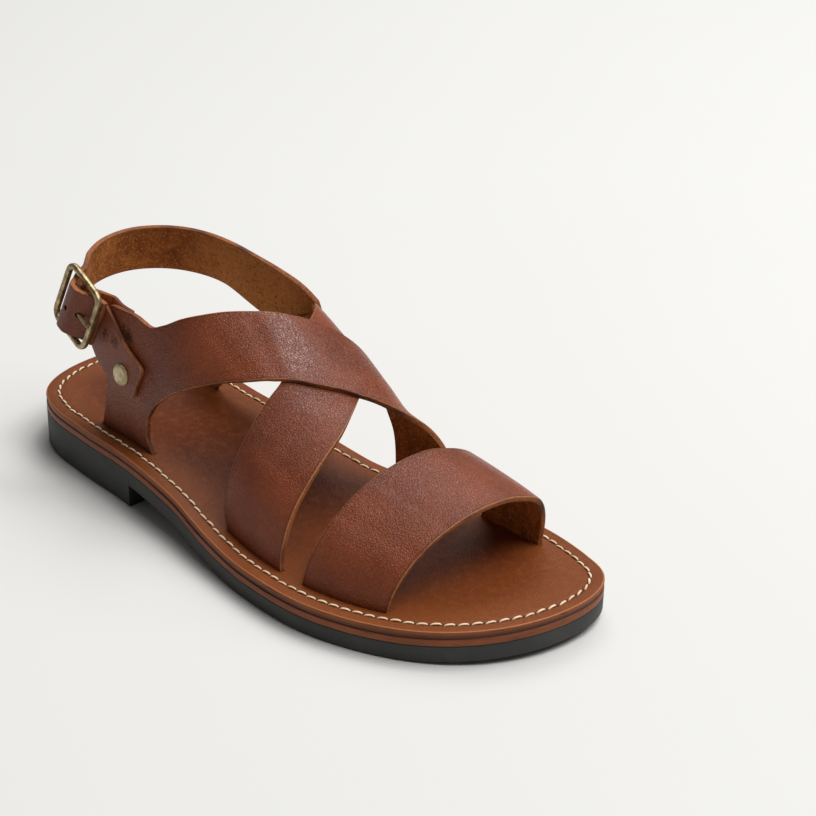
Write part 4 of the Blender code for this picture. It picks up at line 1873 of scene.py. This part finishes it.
@dataclass
class RivetPair:
    """The rivets of the chape and of the heel strap's inner end."""

    bench: Workbench
    last: LastShape
    cap: float = 4.7
    dome: float = 1.3
    shank: float = 1.5
    gap: float = FIT_GAP
    seating: float = 0.09
    bore_reach: float = 9.0
    spokes: int = 48
    outer_at: tuple[float, float] = (70.1, 50.6)
    inner_at: tuple[float, float] = (103.0, 60.5)

    def seat(self, side: Side) -> tuple[np.ndarray, np.ndarray]:
        """Middle of a rivet on the last's wall, and its outward direction."""
        x, z = self.outer_at if side is Side.OUTER else self.inner_at
        return self.last.wall(x, z, 0.0, side), self.last.wall_normal(x, z, side)

    def bore(self, side: Side) -> Piece:
        """Cutter for a rivet's hole.

        Args:
            side: Outer or inner wall.

        Returns:
            The cutter.
        """
        at, out = self.seat(side)
        reach = out * self.bore_reach
        return self.bench.bore("rivet_bore", at - reach, at + reach, self.shank + self.gap)

    def build(
        self, name: str, side: Side, low: float, high: float, brass: Material
    ) -> None:
        """A rivet with a low domed cap outside and a flat burr inside.

        Args:
            name: Solid that it stands for.
            side: Outer or inner wall.
            low: Inner face of the leather, from the last's wall.
            high: Outer face of the leather.
            brass: Its material.
        """
        cap, dome, gap, shank = self.cap, self.dome, self.seating, self.shank
        profile = Table(
            "radius height",
            (0.0, high + dome),
            (cap * 0.45, high + dome * 0.98),
            (cap * 0.76, high + dome * 0.92),
            (cap * 0.88, high + dome * 0.80),
            (cap * 0.96, high + dome * 0.52),
            (cap * 1.00, high + dome * 0.24),
            (cap * 0.985, high + gap),
            (cap * 0.90, high + gap),
            (shank, high + gap),
            (shank, low - gap),
            (cap * 0.85, low - gap),
            (cap * 0.90, low - dome * 0.25),
            (cap * 0.80, low - dome * 0.60),
            (cap * 0.40, low - dome * 0.80),
            (0.0, low - dome * 0.80),
        )
        at, out = self.seat(side)
        first = np.cross(out, ALOFT)
        first /= np.linalg.norm(first)
        second = np.cross(out, first)
        turn = np.linspace(0, 2 * math.pi, self.spokes + 1)
        radius, height = (profile.data[c][:, None, None] for c in ("radius", "height"))
        spokes = np.cos(turn)[None, :, None] * first + np.sin(turn)[None, :, None] * second
        obj = self.bench.wrap(name + "_brass", at + out * height + spokes * radius)
        self.bench.weld(obj)
        self.bench.outward(obj)
        self.bench.soften(obj, 35)
        self.bench.dress(obj, brass)
        self.bench.keep(obj, [name], "brass")


@dataclass
class HeelStrap:
    """Strap round the back of the heel, from its riveted inner end through the buckle."""

    bench: Workbench
    last: LastShape
    seat: BuckleSeat
    wall: float = STRAP_WALL
    lean: float = 12.0
    buckled_width: float = 21.6
    prong_line: float = 2.3
    hole: float = 1.4
    hug_gap: float = FIT_GAP
    heel_middle: tuple[float, float] = (50.0, -5.0)
    row_step: float = 0.8
    ring_ease: float = 5.0
    strap_ease: float = 0.8
    columns: int = 25
    way: Table = Table(
        "x y z width hug",
        (116, 27, 70, 13, 1.0),
        (114, 27, 70, 20.4, 1.0),
        (111, 27, 69.5, 25.2, 1.0),
        (103, 27, 69.8, 27.3, 1.0),
        (93, 27, 72.5, 25.1, 1.0),
        (82, 27, 75.4, 23.4, 1.0),
        (71, 27, 78.3, 22.4, 0.7),
        (58, 27, 79.1, 22.2, 0.1),
        (45, 25.5, 79.2, 21.8, 0.0),
        (34, 21, 79.2, 21.2, 0.0),
        (25.5, 13.5, 79.0, 20.8, 0.0),
        (20.6, 4, 78.8, 20.6, 0.0),
        (19.9, -6, 78.3, 20.2, 0.0),
        (22.4, -15, 77.9, 20.0, 0.0),
        (27.6, -23.6, 77.4, 20.2, 0.0),
    )
    buckled: Table = Table(
        "along out",
        (-13.0, -7.6),
        (-10.2, -3.4),
        (-6.0, 0.9),
        (-2.0, 4.6),
        (2.0, 4.6),
        (6.0, 1.0),
        (11.2, -3.2),
        (12.6, -3.3),
    )

    def sections(self) -> np.ndarray:
        """Sections of the strap's outer face, from the inner end through the buckle.

        Returns:
            Net of points.
        """
        share = np.linspace(0, 1, 160)
        x, y, z, width, hug = (
            self.way.along(c, share) for c in ("x", "y", "z", "width", "hug")
        )
        heading = np.stack((np.gradient(x), np.gradient(y)), axis=-1)
        heading /= np.linalg.norm(heading, axis=1, keepdims=True)
        inward = np.stack((-heading[:, 1], heading[:, 0]), axis=-1)
        towards = np.array(self.heel_middle) - np.stack((x, y), axis=-1)
        inward *= np.sign((inward * towards).sum(1))[:, None]
        down = (0.5 - np.linspace(0, 1, self.columns))[None]
        h = width[:, None] * down
        lean = math.radians(self.lean)
        tuck = h * math.sin(lean)
        ring = stack(
            x[:, None] + inward[:, :1] * tuck,
            y[:, None] + inward[:, 1:] * tuck,
            z[:, None] + h * math.cos(lean),
        )
        off = self.wall + self.hug_gap
        near = self.last.wall(ring[..., 0], ring[..., 2], off, Side.INNER)
        hug = hug[:, None, None]
        ring = drawn_out(ring * (1 - hug) + near * hug, self.row_step, self.ring_ease)
        s = np.linspace(self.buckled.first("along"), self.buckled.last("along"), 90)[:, None]
        n = self.buckled.ease("along", "out", s) + self.wall / 2
        return np.concatenate((ring, self.seat.point(s, self.buckled_width * down, n)))

    def build(self, materials: Materials, rivets: RivetPair) -> None:
        """Model the strap with its wall and its holes.

        Args:
            materials: Material of each face of the leather.
            rivets: The rivets, for their holes.
        """
        net = drawn_out(self.sections(), self.row_step, self.strap_ease)
        obj = self.bench.leather(
            "heel_strap_leather", net, materials, self.wall, corner=Face.EDGE
        )
        for start, end, radius in (
            ((1.2, 0, self.prong_line), (10, 0, self.prong_line), self.hole),
            ((0, 0, 2.4), (0, 0, 8.0), self.hole * 0.8),
        ):
            a, b = self.seat.point(*start), self.seat.point(*end)
            self.bench.cut(obj, self.bench.bore("strap_hole", a, b, radius))
        self.bench.cut(obj, rivets.bore(Side.INNER))
        self.bench.soften(obj)
        self.bench.keep(obj, ["heel_strap"], "upper_leather")


@dataclass
class Chape:
    """Strip folded round the buckle's bar and riveted to the outer quarter."""

    bench: Workbench
    last: LastShape
    seat: BuckleSeat
    wall: float = 1.6
    bar: float = BAR
    gap: float = FIT_GAP
    round: float = 2.4
    run: float = 38.0
    columns: int = 25
    edge: float = 0.3
    row_step: float = 0.6
    strip_ease: float = 0.45
    fold_start: float = 46.0
    fold_sweep: float = 198.0
    slot_middle: Place = (1.2, 0.0, -0.4)
    slot_size: Place = (10.8, 2.2, 9.2)
    outer: Table = Table(
        "x z off tilt half",
        (81.1, 49.6, 1.2, 24, 8.2),
        (75.5, 51.2, 1.2, 24, 9.0),
        (69.0, 53.4, 1.2, 24, 10.0),
        (63.0, 57.6, 1.2, 24, 11.0),
        (57.5, 62.0, 1.2, 23, 11.8),
        (53.0, 66.2, 1.3, 22, 11.2),
        (49.0, 69.6, 3.2, 21, 9.4),
    )
    inner: Table = Table(
        "x z off tilt half",
        (47.8, 71.4, 0.4, 21, 9.2),
        (51.0, 70.0, -1.8, 18, 9.8),
        (55.0, 67.8, -3.4, 13, 11.2),
        (60.0, 65.0, -3.4, 8, 12.4),
        (66.0, 63.0, -3.4, 0, 13.8),
        (72.0, 61.6, -3.4, -10.5, 15.2),
    )

    def leg(self, rows: Table, turned: bool = False) -> np.ndarray:
        """Sections of one leg on the quarter's wall; the outer leg's end has rounded corners.

        Args:
            rows: Table of the leg.
            turned: Whether it is the inner leg, whose end is at its last row.

        Returns:
            Net of points, in the order of the rows.
        """
        share = np.linspace(0, 1, 60) ** (1.0 if turned else 1.6)
        x, z, off, tilt, half = (
            rows.along(c, share)[:, None] for c in ("x", "z", "off", "tilt", "half")
        )
        if not turned:
            short = np.clip(self.round - share[:, None] * self.run, 0, self.round)
            half = half - self.round + np.sqrt(self.round**2 - short**2)
        h = half * np.linspace(-1, 1, self.columns)[None]
        lean = np.radians(tilt)
        off = np.broadcast_to(off, h.shape)
        return self.last.wall(x + h * np.sin(lean), z + h * np.cos(lean), off, Side.OUTER)

    def build(self, materials: Materials, rivets: RivetPair) -> None:
        """Model the strip: up its outer leg, round the bar, and down its inner leg.

        Args:
            materials: Material of each face of the leather.
            rivets: The rivets, for their holes.
        """
        radius = self.bar + self.gap + self.wall / 2
        share = np.linspace(0, 1, 24)[:, None]
        turn = np.radians(self.fold_start + self.fold_sweep * share)
        w = self.outer.last("half") * np.linspace(-1, 1, self.columns)[None]
        fold = self.seat.point(radius * np.cos(turn), w, radius * np.sin(turn))
        rows = np.concatenate((self.leg(self.outer), fold, self.leg(self.inner, True)))
        net = drawn_out(rows, self.row_step, self.strip_ease)
        obj = self.bench.leather(
            "chape_leather", net, materials, self.wall, offset=0.0, edge=self.edge
        )
        self.bench.cut(obj, self.prong_slot())
        self.bench.cut(obj, rivets.bore(Side.OUTER))
        self.bench.soften(obj)
        self.bench.keep(obj, ["chape"], "upper_leather")

    def prong_slot(self) -> Piece:
        """Cutter for the slot in the fold that the prong's eye sits in.

        Returns:
            The cutter.
        """
        bpy.ops.object.select_all(action="DESELECT")
        bpy.ops.mesh.primitive_cube_add(size=1.0)
        obj = bpy.context.active_object
        sides = [Vector(axis * size * MM) for axis, size in zip(self.seat.axes(), self.slot_size)]
        turn = Matrix(sides).transposed().to_4x4()
        middle = Vector(self.bench.place(self.seat.point(*self.slot_middle)))
        obj.data.transform(Matrix.Translation(middle) @ turn)
        return obj


@dataclass
class Buckle:
    """Rounded frame of flattened wire with a bar across its middle, and the prong."""

    bench: Workbench
    seat: BuckleSeat
    length: float = 27.0
    width: float = 29.2
    corner: float = 5.4
    wire: float = 1.3
    bar: float = BAR
    prong: float = 0.8
    prong_taper: float = 0.85
    prong_past: float = 1.0
    blunt: float = 0.6
    gap: float = FIT_GAP
    round_points: int = 24
    frame_square: float = 2.7
    bar_square: float = 2.0
    prong_square: float = 2.2

    def tube(
        self, name: str, path: np.ndarray, radii: np.ndarray, closed: bool, square: float
    ) -> Piece:
        """A wire along a path in the buckle's own distances.

        Args:
            name: Name of the piece.
            path: Points along, across and out.
            radii: Radius at each point.
            closed: Whether its ends meet.
            square: How square its section is, 2 for round.

        Returns:
            The piece.
        """
        if closed:
            ahead = np.roll(path, -1, axis=0) - np.roll(path, 1, axis=0)
        else:
            ahead = np.gradient(path, axis=0)
        ahead /= np.linalg.norm(ahead, axis=1, keepdims=True)
        flat = np.abs(path[:, 2]).max() < 1e-6
        up = ALOFT if flat else np.array((0.0, 1.0, 0.0))
        side = np.cross(up, ahead)
        side /= np.linalg.norm(side, axis=1, keepdims=True)
        top = np.cross(ahead, side)
        turn = np.linspace(0, 2 * math.pi, self.round_points + 1)
        waves = np.stack((np.cos(turn), np.sin(turn)))[:, None, :, None]
        c, s = np.sign(waves) * np.abs(waves) ** (2 / square)
        ring = path[:, None] + radii[:, None, None] * (c * side[:, None] + s * top[:, None])
        if closed:
            ring = np.concatenate((ring, ring[:1]))
        obj = self.bench.wrap(name, self.seat.point(*np.moveaxis(ring, -1, 0)))
        self.bench.weld(obj)
        self.bench.outward(obj)
        return obj

    def capped(self, path: np.ndarray, radius: float, tip: float) -> tuple[np.ndarray, np.ndarray]:
        """A path with rounded ends, and the radius at each point.

        Args:
            path: Points of the wire's middle.
            radius: Radius of the wire.
            tip: Radius at its last end.

        Returns:
            The longer path and its radii.
        """
        turn = np.linspace(0, math.pi / 2, 6)
        first, last = path[0] - path[1], path[-1] - path[-2]
        first, last = first / np.linalg.norm(first), last / np.linalg.norm(last)
        head = path[0] + first * (radius * self.blunt * np.cos(turn))[:, None]
        tail = path[-1] + last * (tip * self.blunt * np.sin(turn))[:, None]
        radii = radius + (tip - radius) * np.linspace(0, 1, len(path)) ** 3
        return (
            np.concatenate((head[:-1], path, tail[1:])),
            np.concatenate((radius * np.sin(turn)[:-1], radii, tip * np.cos(turn)[1:])),
        )

    def build(self, brass: Material) -> None:
        """Model the frame with its bar, and the prong on it.

        Args:
            brass: Their material.
        """
        reach_s, reach_w = self.length / 2 - self.wire, self.width / 2 - self.wire
        corner = self.corner - self.wire
        points = []
        for k, (ks, kw) in enumerate(((1, 1), (-1, 1), (-1, -1), (1, -1))):
            turn = np.radians(90 * k + np.linspace(0, 90, 14))
            arc = np.stack((corner * np.cos(turn), corner * np.sin(turn)), axis=-1)
            points.append(arc + np.array((ks * (reach_s - corner), kw * (reach_w - corner))))
        plan = np.concatenate(points)
        path = np.concatenate((plan, np.zeros((len(plan), 1))), axis=1)
        radii = np.full(len(path), self.wire)
        frame = self.tube("buckle_frame_brass", path, radii, True, self.frame_square)
        path = stack(0.0, np.linspace(-reach_w, reach_w, 9), 0.0)
        bar = self.tube("bar_brass", path, np.full(len(path), self.bar), False, self.bar_square)
        self.bench.join(frame, bar)
        self.bench.soften(frame, 60)
        self.bench.dress(frame, brass)
        self.bench.keep(frame, ["buckle_frame"], "brass")

        eye = self.bar + self.gap + self.prong
        turn = np.radians(np.linspace(-210, 90, 30))
        loop = stack(eye * np.cos(turn), 0.0, eye * np.sin(turn))
        share = np.linspace(0, 1, 16)[1:]
        rest = self.wire + self.gap + self.prong
        arm = stack((reach_s + self.prong_past) * share, 0.0, eye + (rest - eye) * share)
        way = np.concatenate((loop, arm))
        path, radii = self.capped(way, self.prong, self.prong * self.prong_taper)
        tongue = self.tube("buckle_prong_brass", path, radii, False, self.prong_square)
        self.bench.soften(tongue, 60)
        self.bench.dress(tongue, brass)
        self.bench.keep(tongue, ["buckle_prong"], "brass")


# Studio


@dataclass(frozen=True)
class Lamp:
    """A square soft light: metres right, towards the camera and up, its side and its watts."""

    name: str
    right: float
    near: float
    up: float
    size: float
    power: float


@dataclass
class Studio:
    """Pale floor, soft lights and the camera."""

    bench: Workbench
    azimuth: float = 42.40
    elevation: float = 26.16
    distance: float = 806.89
    focal_px: float = 2184.37
    image_px: float = 816.0
    roll: float = 1.06
    target: Place = (205.07, -16.01, 74.08)
    sensor: float = 36.0
    clip: tuple[float, float] = (0.05, 50.0)
    lamps: tuple[Lamp, ...] = (
        Lamp("key", 1.20, 0.10, 2.4, 2.0, 82.0),
        Lamp("sheen", 0.20, -1.45, 2.1, 1.6, 26.0),
    )
    aim: Place = (0.0, 0.0, 0.03)
    sky: Color = (1.0, 0.995, 0.985)
    sky_strength: float = 0.12
    floor_size: float = 12.0
    paper: Color = (0.675, 0.671, 0.653)
    pale_paper: Color = (0.695, 0.691, 0.673)

    def axes(self) -> tuple[np.ndarray, np.ndarray, np.ndarray]:
        """Unit directions to the right and up in the picture, and back to the camera.

        Returns:
            The three directions.
        """
        a, e, r = (math.radians(v) for v in (self.azimuth, self.elevation, self.roll))
        back = np.array((math.sin(a) * math.cos(e), -math.cos(a) * math.cos(e), math.sin(e)))
        right = np.array((math.cos(a), math.sin(a), 0.0))
        up = np.cross(back, right)
        return (
            right * math.cos(r) + up * math.sin(r),
            up * math.cos(r) - right * math.sin(r),
            back,
        )

    def camera(self) -> None:
        """Set the camera where the picture was taken from."""
        right, up, back = self.axes()
        place = self.bench.place(np.array(self.target) + back * self.distance)
        bpy.ops.object.camera_add(location=tuple(place))
        camera = bpy.context.active_object
        turn = Matrix([Vector(right), Vector(up), Vector(back)]).transposed()
        camera.rotation_mode = "QUATERNION"
        camera.rotation_quaternion = turn.to_quaternion()
        camera.data.sensor_width = self.sensor
        camera.data.lens = self.sensor * self.focal_px / self.image_px
        camera.data.clip_start, camera.data.clip_end = self.clip
        bpy.context.scene.camera = camera

    def light(self, lamp: Lamp) -> None:
        """Hang a light, turned to the sandal.

        Args:
            lamp: Its place, size and power.
        """
        right, _, back = self.axes()
        level = np.array((back[0], back[1], 0.0)) / np.hypot(back[0], back[1])
        where = Vector(right * lamp.right + level * lamp.near + ALOFT * lamp.up)
        bpy.ops.object.light_add(type="AREA", location=where)
        made = bpy.context.active_object
        made.name = lamp.name
        made.rotation_mode = "QUATERNION"
        made.rotation_quaternion = (where - Vector(self.aim)).to_track_quat("Z", "Y")
        made.data.size = lamp.size
        made.data.energy = lamp.power

    def floor(self) -> None:
        """Plain pale floor."""
        bpy.ops.object.select_all(action="DESELECT")
        bpy.ops.mesh.primitive_plane_add(size=self.floor_size)
        ground = bpy.context.active_object
        ground.name = "floor"
        n = NodeBench("floor_paper")
        cloud = n.noise(n.where(), 3, 2)
        color = n.mix(cloud, self.paper, self.pale_paper)
        ground.data.materials.append(n.surface(Base_Color=color, Roughness=0.9))

    def build(self) -> None:
        """Set up the studio."""
        self.floor()
        self.camera()
        for lamp in self.lamps:
            self.light(lamp)
        world = bpy.data.worlds.new("studio")
        world.use_nodes = True
        sky = world.node_tree.nodes["Background"]
        sky.inputs["Color"].default_value = (*self.sky, 1.0)
        sky.inputs["Strength"].default_value = self.sky_strength
        bpy.context.scene.world = world
        bpy.context.scene.view_settings.view_transform = "Standard"


@dataclass
class Sandal:
    """The whole sandal, with the places where its leather is worn, and patches of painted light and
    shade.

    A row of a patch is x, across and off on the last, then its core and its reach.
    """

    shape: SoleShape = field(default_factory=SoleShape)
    creased: tuple[PatchRow, ...] = (
        (124, 0.42, 0, 10, 24),
        (140, 0.42, 0, 6, 18),
        (158, 0.30, 0, 10, 24),
        (150, 0.56, 0, 6, 16),
    )
    toe_creased: tuple[PatchRow, ...] = ((208, 0.32, 0, 12, 30), (212, 0.56, 0, 10, 26))
    # gouges: painted shade in their pits, torn fibre with a painted highlight on their lips
    scuffed: tuple[PatchRow, ...] = (
        (58.5, 0.112, 2.0, 1.2, 3.4),
        (65.3, 0.113, 2.0, 1.2, 3.8),
        (68.7, 0.133, 0.4, 1.2, 4.0),
        (71.5, 0.129, 0.4, 1.2, 4.0),
    )
    stained: tuple[PatchRow, ...] = (
        (92.3, 0.834, 0.3, 0, 0.9),
        (92.7, 0.845, 0.3, 0, 0.6),
        (93.2, 0.854, 0.3, 0, 0.6),
        (101.3, 0.822, 0.3, 0, 0.8),
        (82.8, 0.842, 0.3, 0, 0.5),
    )
    # a patch of painted light on the suede
    painted_light_patches: tuple[PatchRow, ...] = ((78, 0.86, 0, 16, 46),)
    # a patch of painted shade on the chape's edge
    painted_shade_patches: tuple[PatchRow, ...] = ((61, 0.130, 2.0, 8.5, 12.5),)

    def __post_init__(self) -> None:
        """Set up the workbench and the last."""
        self.bench = Workbench(self.shape.middle())
        self.last = LastShape(self.shape)

    def patches(self, rows: Sequence[PatchRow]) -> tuple[Patch, ...]:
        """Worn places of a finish, and patches of painted light and shade.

        Args:
            rows: Their rows.

        Returns:
            The patches, in metres.
        """
        made = []
        for x, across, off, core, reach in rows:
            centre = self.bench.place(self.last.point(x, across, off))
            made.append(Patch(tuple(centre.tolist()), core * MM, reach * MM))
        return tuple(made)

    def build(self) -> None:
        """Build and dress every piece."""
        bench, last, seat = self.bench, self.last, BuckleSeat()
        straps, rivets = StrapSet(bench, last), RivetPair(bench, last)
        grain = StrapLeather(
            patches=self.patches(self.creased), scuffs=self.patches(self.scuffed)
        ).make("upper_leather_grain")
        toe_grain = StrapLeather(polish=0.35, patches=self.patches(self.toe_creased)).make(
            "toe_leather_grain"
        )
        suede = SuedeInside(
            marks=self.patches(self.stained), painted_light_patches=self.patches(self.painted_light_patches)
        ).make("upper_leather_suede")
        # the chape's edges carry painted shade in their patch
        raw, painted_shade_patches = CutEdge(), self.patches(self.painted_shade_patches)
        # rounded corners of the strap edges: lighter tan, partly burnish and partly a painted
        # highlight
        rounded = CutEdge((0.430, 0.158, 0.054), (0.160, 0.048, 0.018), 0.66)
        edges = raw.make("upper_leather_edge"), rounded.make("upper_leather_corner")
        chape_edges = (
            replace(raw, painted_shade_patches=painted_shade_patches).make("chape_leather_edge"),
            replace(rounded, painted_shade_patches=painted_shade_patches).make("chape_leather_corner"),
        )
        side = SoleEdge().make("sole_leather_side")
        brass = AntiqueBrass().make("antique_brass")
        polished = AntiqueBrass(
            (0.62, 0.50, 0.29), (0.78, 0.66, 0.42), (0.36, 0.27, 0.14), 0.5
        ).make("rivet_brass")

        unit = SoleUnit(bench, self.shape, last)
        unit.outsole(SoleRubber().make("sole_rubber"))
        unit.midsole(side)
        unit.footbed(FootbedLeather().make("footbed_leather"), side, straps.landings())
        unit.stitches(Thread().make("cream_thread"), NeedleHoleShade().make("needle_hole_shade"))
        straps.build_toe_band((toe_grain, suede, *edges))
        straps.build_crossing((grain, suede, *edges), rivets)
        HeelStrap(bench, last, seat).build((grain, suede, *edges), rivets)
        chape = Chape(bench, last, seat)
        chape.build((grain, suede, *chape_edges), rivets)
        Buckle(bench, seat).build(brass)
        low = chape.inner.last("off") - chape.wall / 2
        high = chape.outer.first("off") + chape.wall / 2
        rivets.build("rivet_lateral", Side.OUTER, low, high, polished)
        rivets.build("rivet_medial", Side.INNER, -STRAP_WALL, STRAP_WALL + FIT_GAP, polished)


def main() -> None:
    """Load the frame, build the sandal and the studio."""
    logging.basicConfig(level=logging.INFO, format="%(name)s: %(message)s")
    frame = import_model()
    LOG.info("frame: %d solids", len(frame["nodes"]))
    bpy.ops.object.select_all(action="DESELECT")
    sandal = Sandal()
    sandal.build()
    Studio(sandal.bench).build()
    bpy.context.view_layer.update()


if __name__ == "__main__":
    main()
